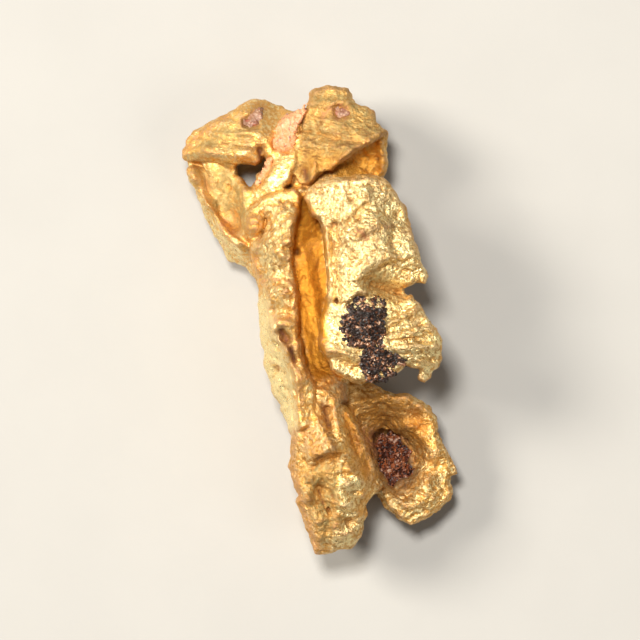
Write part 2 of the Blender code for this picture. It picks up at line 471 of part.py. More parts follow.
def distance_to_line(points, line, closed=False):
    """Distance from each (x, y) to a broken line, or to a single point."""
    line = np.array(line, float)
    starts, ends = line, np.roll(line, -1, axis=0)
    if not closed and len(line) > 1:
        starts, ends = starts[:-1], ends[:-1]
    nearest = np.full(len(points), np.inf)
    for start, end in zip(starts, ends):
        run = end - start
        share = (points - start) @ run / max(run @ run, 1e-9)
        foot = start + np.clip(share, 0.0, 1.0)[:, None] * run
        nearest = np.minimum(nearest, np.hypot(*(points - foot).T))
    return nearest


def surface(points, heights):
    """Smooth heights at each (x, y) that pass through the given (x, y, z)."""
    heights = np.array(heights, float)
    places, levels = heights[:, :2], heights[:, 2]

    def spread(a, b):
        return np.sqrt(((a[:, None] - b[None]) ** 2).sum(-1) + SOFTNESS ** 2)

    size = len(places)
    system = np.ones((size + 1, size + 1))
    system[:size, :size] = spread(places, places)
    system[size, size] = 0.0
    weights = np.linalg.solve(system, np.append(levels, 0.0))
    return spread(points, places) @ weights[:size] + weights[size]


def relief(points, features):
    """The sum of the ridges and pits at each (x, y)."""
    total = np.zeros(len(points))
    for height, width, line in features:
        total += height * np.exp(-((distance_to_line(points, line) / width) ** 2))
    return total


def fill_outline(outline, step):
    """Points and triangles over an outline, with its edge first, in order."""
    edge = []
    for start, end in zip(outline, outline[1:] + outline[:1]):
        start, end = np.array(start), np.array(end)
        parts = max(1, round(np.hypot(*(end - start)) / step))
        edge += [start + (end - start) * i / parts for i in range(parts)]
    low, high = np.min(outline, axis=0), np.max(outline, axis=0)
    columns = np.arange(low[0] + step / 2, high[0], step)
    rows = np.arange(low[1] + step / 2, high[1], step)
    inner = np.array([(x, y) for y in rows for x in columns])
    inner = inner[distance_to_line(inner, outline, closed=True) > step * CLEAR_OF_EDGE]
    points = [Vector(p) for p in edge] + [Vector(p) for p in inner]
    loop = list(range(len(edge)))
    filled = delaunay_2d_cdt(points, [], [loop], 1, JOIN_WITHIN)
    places = np.array([tuple(p) for p in filled[0]])
    triangles = [tuple(face) for face in filled[2]]
    return places, triangles


def sheet_mesh(name, outline, top, under, rim, step):
    """A closed body over an outline, between heights given by two functions, with a round rim."""
    places, triangles = fill_outline(outline, step)
    upper, lower = top(places), under(places)
    middle = (upper + lower) / 2
    inset = np.clip(distance_to_line(places, outline, closed=True) / rim, 0.0, 1.0)
    swell = EDGE + (1.0 - EDGE) * np.sqrt(1.0 - (1.0 - inset) ** 2)
    upper = middle + np.maximum(upper - lower, LEAST_THICKNESS) / 2 * swell
    lower = 2 * middle - upper
    count = len(places)
    vertices = [(x, y, z) for (x, y), z in zip(places, upper)]
    vertices += [(x, y, z) for (x, y), z in zip(places, lower)]
    faces = [tuple(f) for f in triangles] + [tuple(i + count for i in reversed(f)) for f in triangles]
    sides = {(a, b) for face in triangles for a, b in zip(face, face[1:] + face[:1])}
    faces += [(b, a, a + count, b + count) for a, b in sorted(sides) if (b, a) not in sides]
    mesh = bpy.data.meshes.new(name)
    mesh.from_pydata(vertices, [], faces)
    mesh.update()
    return mesh


def gold_sheet(sheet):
    """One of the sheets that the gold is made of."""

    def top(places):
        return surface(places, sheet["top"]) + relief(places, sheet["relief"])

    def under(places):
        return surface(places, sheet["under"])

    return sheet_mesh("sheet", sheet["outline"], top, under, sheet["rim"], SHEET_STEP)


def keel_sheet(keel):
    """A fold that stands on edge along a broken line."""
    line = np.array(keel, float)
    runs = np.gradient(line[:, :2], axis=0)
    runs /= np.linalg.norm(runs, axis=1)[:, None]
    sides = np.stack([-runs[:, 1], runs[:, 0]], axis=1) * line[:, 2:3]
    left, right = line[:, :2] + sides, line[:, :2] - sides
    outline = [tuple(p) for p in left] + [tuple(p) for p in right[::-1]]
    edge = [(x, y, z) for x, y, _, z in keel]

    def top(places):
        return np.full(len(places), KEEL_TOP)

    def under(places):
        return surface(places, edge)

    return sheet_mesh("keel", outline, top, under, KEEL_RIM, SHEET_STEP)


def new_object(name, mesh):
    """An object in the scene that holds a mesh."""
    obj = bpy.data.objects.new(name, mesh)
    bpy.context.scene.collection.objects.link(obj)
    return obj


def drop(obj):
    """Remove an object and its mesh."""
    mesh = obj.data
    bpy.data.objects.remove(obj, do_unlink=True)
    bpy.data.meshes.remove(mesh)


def bake_modifiers(obj):
    """Turn what an object's modifiers make into its own mesh."""
    graph = bpy.context.evaluated_depsgraph_get()
    graph.update()
    made = bpy.data.meshes.new_from_object(obj.evaluated_get(graph))
    old = obj.data
    obj.modifiers.clear()
    obj.data = made
    bpy.data.meshes.remove(old)


def keep_largest_body(mesh):
    """Delete every loose crumb, so that one connected body is left."""
    grid = bmesh.new()
    grid.from_mesh(mesh)
    unseen = set(grid.verts)
    bodies = []
    while unseen:
        front = [unseen.pop()]
        body = list(front)
        while front:
            vertex = front.pop()
            for edge in vertex.link_edges:
                other = edge.other_vert(vertex)
                if other in unseen:
                    unseen.discard(other)
                    front.append(other)
                    body.append(other)
        bodies.append(body)
    bodies.sort(key=len)
    for body in bodies[:-1]:
        bmesh.ops.delete(grid, geom=body, context="VERTS")
    bmesh.ops.triangulate(grid, faces=grid.faces[:])
    grid.to_mesh(mesh)
    grid.free()


def add_lumps(mesh):
    """Push each vertex in or out along its normal by smooth noise with sharp crests."""
    normals = [vertex.normal.copy() for vertex in mesh.vertices]
    for vertex, normal in zip(mesh.vertices, normals):
        place = vertex.co / LUMP_SIZE + Vector(LUMP_SHIFT)
        crest = 0.5 - abs(noise.fractal(place, 1.0, 2.0, LUMP_OCTAVES)) * 2.0
        vertex.co += normal * crest * LUMP_HEIGHT
    mesh.update()


def cut(obj, cutter):
    """Take a cutter's volume out of an object."""
    cutter.hide_render = True
    cutter.display_type = "WIRE"
    boolean = obj.modifiers.new("cut", "BOOLEAN")
    boolean.operation = "DIFFERENCE"
    boolean.solver = "EXACT"
    boolean.object = cutter
    bake_modifiers(obj)
    drop(cutter)


def prism(name, outline, low, high):
    """A straight-walled body over an outline."""
    grid = bmesh.new()
    bottom = [grid.verts.new((x, y, low)) for x, y in outline]
    upper = [grid.verts.new((x, y, high)) for x, y in outline]
    grid.faces.new(list(reversed(bottom)))
    grid.faces.new(upper)
    for i in range(len(outline)):
        grid.faces.new((bottom[i - 1], bottom[i], upper[i], upper[i - 1]))
    bmesh.ops.recalc_face_normals(grid, faces=grid.faces[:])
    mesh = bpy.data.meshes.new(name)
    grid.to_mesh(mesh)
    grid.free()
    return new_object(name, mesh)


def offset_outline(outline, distance):
    """An outline moved outwards by a distance, or inwards if below 0."""
    corners = np.array(outline, float)
    before = corners - np.roll(corners, 1, axis=0)
    after = np.roll(corners, -1, axis=0) - corners
    area = np.sum(corners[:, 0] * np.roll(corners[:, 1], -1) - np.roll(corners[:, 0], -1) * corners[:, 1])
    side = 1.0 if area > 0 else -1.0
    outward = [np.stack([e[:, 1], -e[:, 0]], axis=1) * side for e in (before, after)]
    outward = [e / np.linalg.norm(e, axis=1)[:, None] for e in outward]
    turn = outward[0] + outward[1]
    turn /= np.maximum((turn * outward[0]).sum(axis=1), SHARPEST_CORNER)[:, None]
    return [tuple(p) for p in corners + turn * distance]


def make_stone(name, stone):
    """A stone that fills its socket, with a rough upper side."""

    def top(places):
        spots = [Vector((x, y, stone["seed"])) / STONE_GRAIN for x, y in places]
        bumps = np.array([noise.fractal(spot, 1.0, 2.0, STONE_OCTAVES) for spot in spots])
        return surface(places, stone["top"]) + bumps * stone["bumps"]

    def under(places):
        return np.full(len(places), stone["floor"] + FIT_GAP)

    mesh = sheet_mesh(name, stone["outline"], top, under, STONE_RIM, STONE_STEP)
    mesh.transform(Matrix.Scale(MM, 4))
    mesh.materials.append(principled(name, stone["color"], 0.0, STONE_ROUGHNESS))
    return new_object(name, mesh)


def joined_sheets():
    """Every sheet and keel in one mesh, still passing through each other."""
    meshes = [gold_sheet(sheet) for sheet in SHEETS] + [keel_sheet(keel) for keel in KEELS]
    grid = bmesh.new()
    for mesh in meshes:
        grid.from_mesh(mesh)
    joined = bpy.data.meshes.new("gold")
    grid.to_mesh(joined)
    grid.free()
    for mesh in meshes:
        bpy.data.meshes.remove(mesh)
    return joined


def make_gold():
    """The gold: all its sheets grown into one body, with its hole, sockets and worn flats."""
    gold = new_object("gold", joined_sheets())
    remesh = gold.modifiers.new("join", "REMESH")
    remesh.mode = "VOXEL"
    remesh.voxel_size = VOXEL
    bake_modifiers(gold)
    keep_largest_body(gold.data)
    add_lumps(gold.data)
    decimate = gold.modifiers.new("simplify", "DECIMATE")
    decimate.ratio = GOLD_TRIANGLES / len(gold.data.polygons)
    bake_modifiers(gold)
    cut(gold, prism("heart", HEART, REST_PLANE - VOXEL, HEIGHT))
    for stone in STONES.values():
        socket = offset_outline(stone["outline"], FIT_GAP)
        cut(gold, prism("socket", socket, stone["floor"], HEIGHT))
    table = [(-WIDTH, -LENGTH), (WIDTH, -LENGTH), (WIDTH, LENGTH), (-WIDTH, LENGTH)]
    cut(gold, prism("below", table, BELOW_REST, REST_PLANE))
    keep_largest_body(gold.data)
    gold.data.transform(Matrix.Scale(MM, 4))
    gold.data.materials.clear()
    gold.data.materials.append(principled("gold", GOLD_COLOR, 1.0, GOLD_ROUGHNESS))
    return gold


def main():
    """Build the gold and every stone that is set in it."""
    clear_scene()
    make_gold()
    for name, stone in STONES.items():
        make_stone(name, stone)


main()
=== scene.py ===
"""Dresses a gold nugget: its crystalline gold, its ironstone, its quartz and the table that it lies on."""
import math

import bmesh
import bpy
import numpy as np
from bpy.props import FloatProperty, FloatVectorProperty, IntProperty, PointerProperty
from mathutils import Matrix, Vector, noise
from mathutils.bvhtree import BVHTree
from mathutils.geometry import delaunay_2d_cdt


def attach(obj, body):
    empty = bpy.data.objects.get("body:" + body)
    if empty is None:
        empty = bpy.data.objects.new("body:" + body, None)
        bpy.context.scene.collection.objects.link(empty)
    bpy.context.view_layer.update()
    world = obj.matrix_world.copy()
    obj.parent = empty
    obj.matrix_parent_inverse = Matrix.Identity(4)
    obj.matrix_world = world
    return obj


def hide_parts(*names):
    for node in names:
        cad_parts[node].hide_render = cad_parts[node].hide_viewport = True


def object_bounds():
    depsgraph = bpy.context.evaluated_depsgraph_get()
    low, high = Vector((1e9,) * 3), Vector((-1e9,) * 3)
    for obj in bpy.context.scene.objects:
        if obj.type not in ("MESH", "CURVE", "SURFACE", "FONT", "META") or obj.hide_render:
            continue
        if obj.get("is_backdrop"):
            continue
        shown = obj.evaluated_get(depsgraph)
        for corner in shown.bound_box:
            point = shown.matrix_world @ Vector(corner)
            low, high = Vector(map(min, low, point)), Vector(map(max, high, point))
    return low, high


bl_info = {
    "name": "Gold Nugget",
    "version": (1, 0, 0),
    "blender": (4, 5, 0),
    "location": "View3D > Sidebar > Nugget",
    "description": "Builds a gold nugget with quartz and ironstone, and the table that it lies on",
    "category": "Add Mesh",
}

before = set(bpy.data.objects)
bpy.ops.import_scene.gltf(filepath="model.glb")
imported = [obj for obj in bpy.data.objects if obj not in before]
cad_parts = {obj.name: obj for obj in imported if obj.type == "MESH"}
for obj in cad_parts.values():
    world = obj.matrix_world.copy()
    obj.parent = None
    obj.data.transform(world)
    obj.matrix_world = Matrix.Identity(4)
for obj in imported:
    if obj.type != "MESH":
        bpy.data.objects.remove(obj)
CAD_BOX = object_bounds()
BODY = "root"
MM = 0.001  # metres in a millimetre: forms and meshes are made in millimetres, and settings are in metres
TINY = 1e-9  # keeps a division off zero

# How the gold's sheets and keels are built.
SHEET_STEP = 0.07  # spacing of the points that a sheet is built on
SOFTNESS = 0.5  # how roundly a sheet passes through its heights
EDGE = 0.45  # thickness at a sheet's very edge, as a share of its thickness inside
LEAST_THICKNESS = 0.2
CLEAR_OF_EDGE = 0.55  # how near to an outline inner points may lie, in steps
MERGED = 1e-6  # how near to each other two points of an outline count as one
KEEL_TOP = 3.0
KEEL_RIM = 0.3
TEAR = 0.09  # how far a sheet's torn edge goes in and out
TEAR_STEP = 0.12
TEAR_SIZE = 0.35
SEAT_DEPTH = 0.22  # how far the gold lies below the top of a stone that is set in it
SEAT_EDGE = 0.08
LEDGE_RUN = 0.05  # half the width of a ledge's riser
SHEET_SEEDS = 3.7  # how far apart the seeds of the sheets' torn edges are
JOIN_ROUNDS = 2  # how often the joined sheets are eased
REST_PLANE = 0.0

# Blender's noise: how it changes from octave to octave, and how far a seed moves it along x, y and z.
ROUGHENING = 1.0
DOUBLING = 2.0
CREASE_SHIFT = (1.0, 1.7, 0.6)
ROLL_SHIFT = (1.0, 1.3, 0.7)
PIT_SHIFT = (1.0, 1.1, 0.8)
SCALE_SHIFT = (1.0, 1.9, 0.4)
PIT_SIDE = (0.06, 0.2)  # where a pit's side starts and ends, in sizes
SCALE_TILTS = 7.3  # which of the random tilts the crystal faces take
SCALE_STEEPNESS = 1.6

# Patterns on the gold's skin: size, octaves where it has them, and seed.
LUMPS = (1.3, 3, 3.0)
WALL_LEDGES = (1.1, 3, 8.0)
WALL_FOLDS = (2.2, 3, 25.0)
CRYSTAL_FACES = (0.45, 2.0)
CRUMPLES = (0.6, 4, 16.0)
SKIN_PITS = (0.8, 11.0)
GRAIN_CREASES = (4, 6.0)
GRAIN_ROLLS = (2, 7.0)
CLOUDS = (0.9, 3, 12.0)
FILM_CLOUDS = (1.4, 4, 15.0)
TINT_CLOUDS = (0.7, 3, 21.0)

# How the gold's skin is roughened.
LUMP_HEIGHT = 0.05
STEEP = (0.3, 0.8)  # from a level skin at 0 to an upright one at 1
LAYERING = (0.6, 0.6, 2.2)  # squeezes a wall's patterns into layers
WALL_HEIGHTS = (2.2, 3.8)  # the broad folds on walls fade out between these heights
CLEAR_OF_HEART = 0.8
PLAIN_ROUGHNESS = 0.35
PLAIN_CRUMPLE = 0.6
LEAST_PITS = 0.3
HEIGHT_BLEND = 0.3
ROUGH_BLEND = 0.3
CREASE_SIZE = 2.0  # size and height of the grain's creases, in grains
CREASE_HEIGHT = 1.5
STREAK_BLEND = 0.25
STREAK_SLOPE = (0.0, 0.4)
STREAK_OCTAVES = 3
STREAK_SEEDS = 40.0
FAN_REACH = 2.5  # how far from its centre a fan of streaks is as wide as it is said to be
LEAST_MASK = 0.01
LINE_CRESTS = (0.25, 0.45)  # between these, a sunken streak's crests turn into dark lines

# How the gold's triangles are thinned.
KEEP_LEVELS = 8
KEEP_LEAST = 0.25
KEEP_SLOPE = (-0.2, 0.4)
KEEP_SHARE = 0.9

# How the gold's layers are painted.
TINT_TEAR = 0.2  # how far the edges of the tinted areas wander
LINE_WANDER = 0.5  # how much wider or narrower the tinted lines get
CREST_ROUNDS = 24  # how widely the finish looks for crests
CRESTS = (0.03, 0.09)  # how far above its neighbourhood a point lies where film starts, and where it is full
GROOVES = (0.02, 0.08)  # the same below it for the shade painted into grooves
FACING_UP = -0.1  # the least z of the normal of a point that can be seen from above
RAY_GAP = 0.05
SKY_GAP = 0.03
SKY_RAYS = 20  # directions in which each point looks for the sky
SKY_REACH = 2.2  # gold farther away than this hides no sky
SKY_SIDE = (0.3, 0.9, 0.1)
AMBER_SHADE_SKY = (0.1, 0.55)  # the shares of free sky between which the amber, painted shade and reflected light of hollows, fades out
SHELTER_SHADE_SKY = (0.05, 0.28)  # the same for the shade painted into sheltered places
FILMED_CLOUDS = (0.15, 0.6)
PALE = 0.3
OLIVE = 0.25
# Amber is painted shade and reflected light in hollows; the darkening of sheltered places below is painted
# shade too.
AMBER_SHADE = 0.6
CLOUD_FILM = 0.25
CREST_FILM = 0.55
# How dark the painted shade of sheltered places gets.
SHELTER_SHADE = 0.7
MOST_PAINT = 1.5

# A sheet has an outline of (x, y), the heights of its upper side and of its under side, both as (x, y, z),
# the width of its rounded rim, and outlines of holes. Relief, its large folds, and detail, its small ones,
# are (height, width, line): a ridge, or a groove or pit if below 0. Ledges are (height, width, line): a step
# that lifts what lies left of its line, and fades away from it.

# The heart-shaped hole that goes right through the wing.
HEART = [
    (-4.0, 7.3), (-3.53, 7.37), (-3.02, 7.25), (-2.78, 7.44), (-2.69, 7.72), (-2.5, 7.49), (-2.5, 7.1),
    (-2.97, 6.79), (-3.02, 6.5), (-3.2, 6.22), (-3.35, 6.22), (-3.63, 6.55), (-3.86, 6.93),
]

WING = {
    "outline": [
        (-6.48, 7.91), (-6.29, 8.19), (-6.29, 8.42), (-5.87, 8.85), (-5.27, 9.17), (-5.03, 9.41),
        (-4.47, 9.66), (-3.77, 9.97), (-3.3, 10.3), (-2.97, 10.37), (-2.6, 10.37), (-1.8, 10.11),
        (-1.43, 9.85), (-0.96, 9.73), (-0.82, 8.42), (-0.96, 7.25), (-1.43, 6.32), (-2.13, 5.76),
        (-2.6, 4.9), (-2.6, 1.6), (-2.83, 1.59), (-3.3, 2.11), (-3.49, 2.57), (-3.72, 2.71), (-4.28, 2.85),
        (-4.7, 3.46), (-5.12, 4.26), (-5.41, 4.77), (-5.64, 5.52), (-5.87, 5.94), (-5.87, 6.18),
        (-6.11, 6.65), (-6.25, 7.39), (-6.39, 7.63),
    ],
    "top": [
        # the upper fold, then its back rim
        (-6.1, 8.3, 3.2), (-5.2, 8.9, 3.6), (-4.3, 9.4, 3.9), (-3.3, 9.9, 4.0), (-4.6, 8.3, 4.3),
        (-3.4, 8.4, 4.7), (-2.6, 9.1, 4.4), (-3.0, 7.9, 4.8), (-4.2, 7.75, 4.4), (-5.4, 7.75, 3.8),
        (-6.2, 7.8, 3.2), (-2.6, 10.2, 3.2), (-1.9, 9.9, 3.0),
        # the lower fold, its rim and the wall outside the rim
        (-5.8, 7.2, 2.8), (-5.0, 7.0, 3.0), (-4.1, 6.9, 3.4), (-4.9, 5.9, 3.0), (-4.0, 5.5, 3.5),
        (-3.5, 5.4, 4.0), (-4.2, 4.6, 3.3), (-3.6, 4.3, 4.0), (-3.4, 3.5, 4.2), (-5.95, 6.7, 3.1),
        (-5.3, 5.4, 3.3), (-4.6, 4.2, 3.5), (-3.9, 3.4, 3.8), (-6.0, 6.1, 2.4), (-5.5, 5.0, 2.3),
        (-4.9, 3.9, 2.3), (-4.2, 2.95, 2.5), (-3.6, 2.9, 3.3), (-3.2, 2.2, 3.5),
        # the smooth tongue beside the hole, and the seat of the wedge
        (-2.2, 7.6, 4.7), (-2.2, 6.6, 5.1), (-1.6, 7.5, 5.0), (-1.6, 8.8, 4.3), (-1.2, 9.6, 4.1),
    ],
    "under": [
        (-6.0, 8.0, 2.1), (-4.6, 9.0, 2.4), (-4.3, 7.2, 1.8), (-5.1, 6.2, 1.2), (-4.3, 4.2, 1.3),
        (-3.0, 9.8, 2.2), (-2.0, 7.0, 2.2), (-2.8, 4.5, 1.6), (-3.0, 2.4, 1.7), (-1.5, 9.2, 2.0),
    ],
    "holes": [HEART],
    "rim": 0.3,
    "relief": [
        (-0.6, 0.3, [(-6.1, 7.4), (-5.2, 7.35), (-4.3, 7.2), (-3.9, 7.0)]),
        (0.3, 0.2, [(-6.0, 7.1), (-5.6, 6.2), (-5.1, 5.1), (-4.4, 4.0), (-3.7, 3.2)]),
        (-0.3, 0.4, [(-4.9, 6.2), (-4.5, 5.2), (-4.1, 4.5)]),
        (0.25, 0.25, [(-3.6, 6.1), (-3.5, 5.0), (-3.4, 4.2)]),
        (-0.2, 0.35, [(-5.6, 8.55), (-4.4, 8.15), (-3.3, 8.3)]),
        (0.2, 0.25, [(-5.3, 8.1), (-4.4, 7.8), (-3.4, 7.9)]), (-0.6, 0.22, [(-2.82, 7.95)]),
    ],
    "detail": [
        (0.12, 0.1, [(-5.27, 7.65), (-3.77, 7.45)]), (0.08, 0.1, [(-3.95, 8.1), (-3.0, 7.95)]),
        (0.1, 0.15, [(-4.7, 9.35), (-4.1, 9.1)]), (0.1, 0.12, [(-3.75, 5.75), (-3.5, 4.95)]),
        (0.1, 0.08, [(-6.1, 7.1), (-5.87, 6.55), (-5.64, 6.1), (-5.4, 5.7), (-5.1, 5.3), (-4.8, 4.8),
                     (-4.35, 4.5), (-4.2, 4.1), (-3.8, 3.7), (-3.4, 3.5)]),
        (-0.1, 0.12, [(-5.9, 8.2), (-4.9, 8.0), (-4.2, 8.05)]),
        (0.1, 0.12, [(-5.2, 8.75), (-4.2, 8.7), (-3.3, 8.75)]),
        (-0.12, 0.1, [(-4.6, 6.9), (-4.3, 6.3), (-3.9, 5.9)]),
    ],
    "ledges": [
        (0.2, 0.35, [(-6.2, 7.5), (-5.2, 7.55), (-4.2, 7.4), (-3.6, 7.45)]),
        (-0.15, 0.4, [(-5.87, 6.55), (-5.64, 6.1), (-5.1, 5.3), (-4.8, 4.8), (-4.2, 4.1), (-3.4, 3.5)]),
    ],
}

BLOCK_FACE = {
    "outline": [
        (-0.54, 10.34), (-0.49, 10.67), (-0.26, 10.81), (0.02, 10.93), (0.35, 11.0), (0.73, 10.95),
        (1.29, 10.86), (1.43, 10.62), (1.45, 10.34), (1.76, 10.04), (2.18, 9.97), (2.5, 9.83), (2.6, 9.5),
        (2.69, 9.17), (2.83, 9.03), (3.21, 8.8), (2.88, 8.61), (2.55, 8.38), (2.08, 8.14), (1.61, 7.86),
        (1.05, 7.44), (0.82, 7.25), (0.54, 7.02), (0.07, 6.88), (-0.35, 6.4), (-0.95, 6.3), (-1.3, 6.9),
        (-1.1, 7.96), (-1.05, 8.61), (-0.82, 9.45), (-0.54, 9.92),
    ],
    "top": [
        (-0.2, 10.6, 4.4), (0.9, 10.7, 4.6), (1.3, 10.2, 4.8), (2.4, 9.6, 5.0), (3.1, 8.8, 5.4),
        (-0.6, 9.4, 4.5), (-0.9, 8.4, 4.7), (0.3, 9.2, 5.1), (1.8, 9.0, 5.5), (0.4, 8.2, 5.5),
        (1.6, 8.1, 6.1), (2.4, 8.5, 5.9), (1.1, 7.7, 6.2), (0.3, 7.2, 5.8), (-0.6, 7.2, 5.3),
        (-1.1, 7.6, 5.0), (-0.5, 6.6, 5.5),
    ],
    "under": [(0.0, 10.0, 2.9), (2.4, 9.4, 3.3), (2.8, 8.7, 4.2), (1.2, 7.8, 4.6), (-0.5, 7.0, 3.6)],
    "rim": 0.2,
    "relief": [
        (-0.2, 0.18, [(-0.9, 8.85), (0.4, 8.6), (1.1, 8.4), (2.1, 8.3)]),
        (0.2, 0.2, [(-0.9, 8.3), (0.4, 8.1), (1.3, 7.95)]),
        (0.35, 0.2, [(-0.25, 7.4), (-0.35, 6.8), (-0.5, 6.2)]), (-0.3, 0.3, [(-0.8, 7.1), (-0.9, 6.6)]),
        (0.2, 0.25, [(-0.3, 10.2), (0.5, 10.1), (1.2, 10.3)]),
        (0.25, 0.2, [(3.0, 8.75), (2.3, 8.35), (1.6, 7.95), (1.0, 7.5)]),
    ],
    "detail": [
        (-0.14, 0.08, [(-0.9, 8.85), (-0.4, 8.83)]),
        (-0.16, 0.08, [(-0.12, 8.75), (0.44, 8.56), (1.15, 8.38), (2.08, 8.28)]),
        (-0.15, 0.08, [(-0.96, 8.28), (0.44, 8.14), (1.38, 7.96)]),
        (-0.12, 0.08, [(-1.05, 8.05), (0.91, 7.86)]), (-0.15, 0.08, [(1.38, 8.99), (2.69, 9.17)]),
        (-0.12, 0.08, [(-0.73, 9.36), (0.44, 9.13), (1.38, 8.85)]),
        (-0.07, 0.06, [(-0.49, 9.73), (0.21, 9.55)]), (-0.2, 0.1, [(1.05, 7.96)]),
        (-0.15, 0.1, [(-0.02, 7.16)]), (-0.2, 0.12, [(-0.7, 7.0), (-0.65, 6.5)]),
        (0.12, 0.1, [(0.1, 7.35), (0.05, 6.95)]),
    ],
    "ledges": [
        (0.12, 0.3, [(-0.9, 8.6), (0.3, 8.5), (1.15, 8.3), (2.2, 8.2)]),
        (0.1, 0.3, [(-0.9, 8.2), (0.4, 8.08), (1.4, 7.9)]), (0.1, 0.3, [(1.2, 8.9), (2.7, 9.05)]),
        (0.12, 0.3, [(-0.6, 9.3), (0.5, 9.1), (1.3, 8.85)]), (0.05, 0.3, [(-0.3, 10.1), (0.3, 10.0)]),
    ],
}

BLOCK_BACK = {
    "outline": [
        (-0.54, 10.2), (-0.1, 10.7), (1.2, 10.7), (1.4, 10.2), (2.3, 9.9), (2.6, 9.2), (3.15, 8.8),
        (3.16, 8.56), (3.11, 8.19), (3.09, 7.86), (3.18, 7.25), (3.11, 7.02), (2.93, 6.74), (2.55, 5.9),
        (1.15, 5.3), (-0.8, 5.3), (-1.4, 6.1), (-1.4, 7.3), (-0.95, 8.6), (-0.75, 9.5),
    ],
    "top": [
        (2.9, 8.5, 4.4), (3.0, 7.5, 4.0), (2.4, 7.8, 4.1), (2.8, 6.9, 3.8), (1.5, 7.2, 4.3),
        (0.8, 6.8, 4.6), (-0.5, 7.0, 4.8), (0.0, 10.3, 3.8), (2.2, 9.6, 4.3), (-0.6, 8.5, 4.1),
        (1.2, 5.8, 4.6),
    ],
    "under": [
        (0.0, 10.2, 2.2), (2.1, 9.3, 2.2), (2.9, 7.7, 1.6), (1.0, 8.4, 1.4), (-0.6, 7.2, 1.3),
        (1.5, 6.2, 1.7),
    ],
    "rim": 0.3,
    "relief": [(-0.3, 0.4, [(1.7, 7.5), (2.5, 7.6)]), (0.2, 0.25, [(2.9, 8.3), (3.0, 7.0)])],
    "detail": [(0.1, 0.1, [(2.2, 8.0), (2.7, 7.2)]), (-0.1, 0.12, [(1.6, 7.2), (2.3, 7.0)])],
}

# The spine's crest, and the ring near its upper end.
SPINE_CREST = [
    (-3.2, 3.3), (-2.9, 1.9), (-2.36, 1.4), (-2.27, 0.94), (-2.36, 0.37), (-2.18, -0.47), (-1.9, -0.94),
    (-1.57, -1.31), (-1.33, -1.87), (-1.19, -2.43), (-1.05, -3.04), (-0.96, -4.45), (-1.05, -5.05),
    (-1.19, -5.48),
]
SPINE_RING = [(-3.35, 4.65), (-3.1, 4.8), (-2.85, 4.6), (-2.8, 4.3), (-3.05, 4.15), (-3.35, 4.3)]

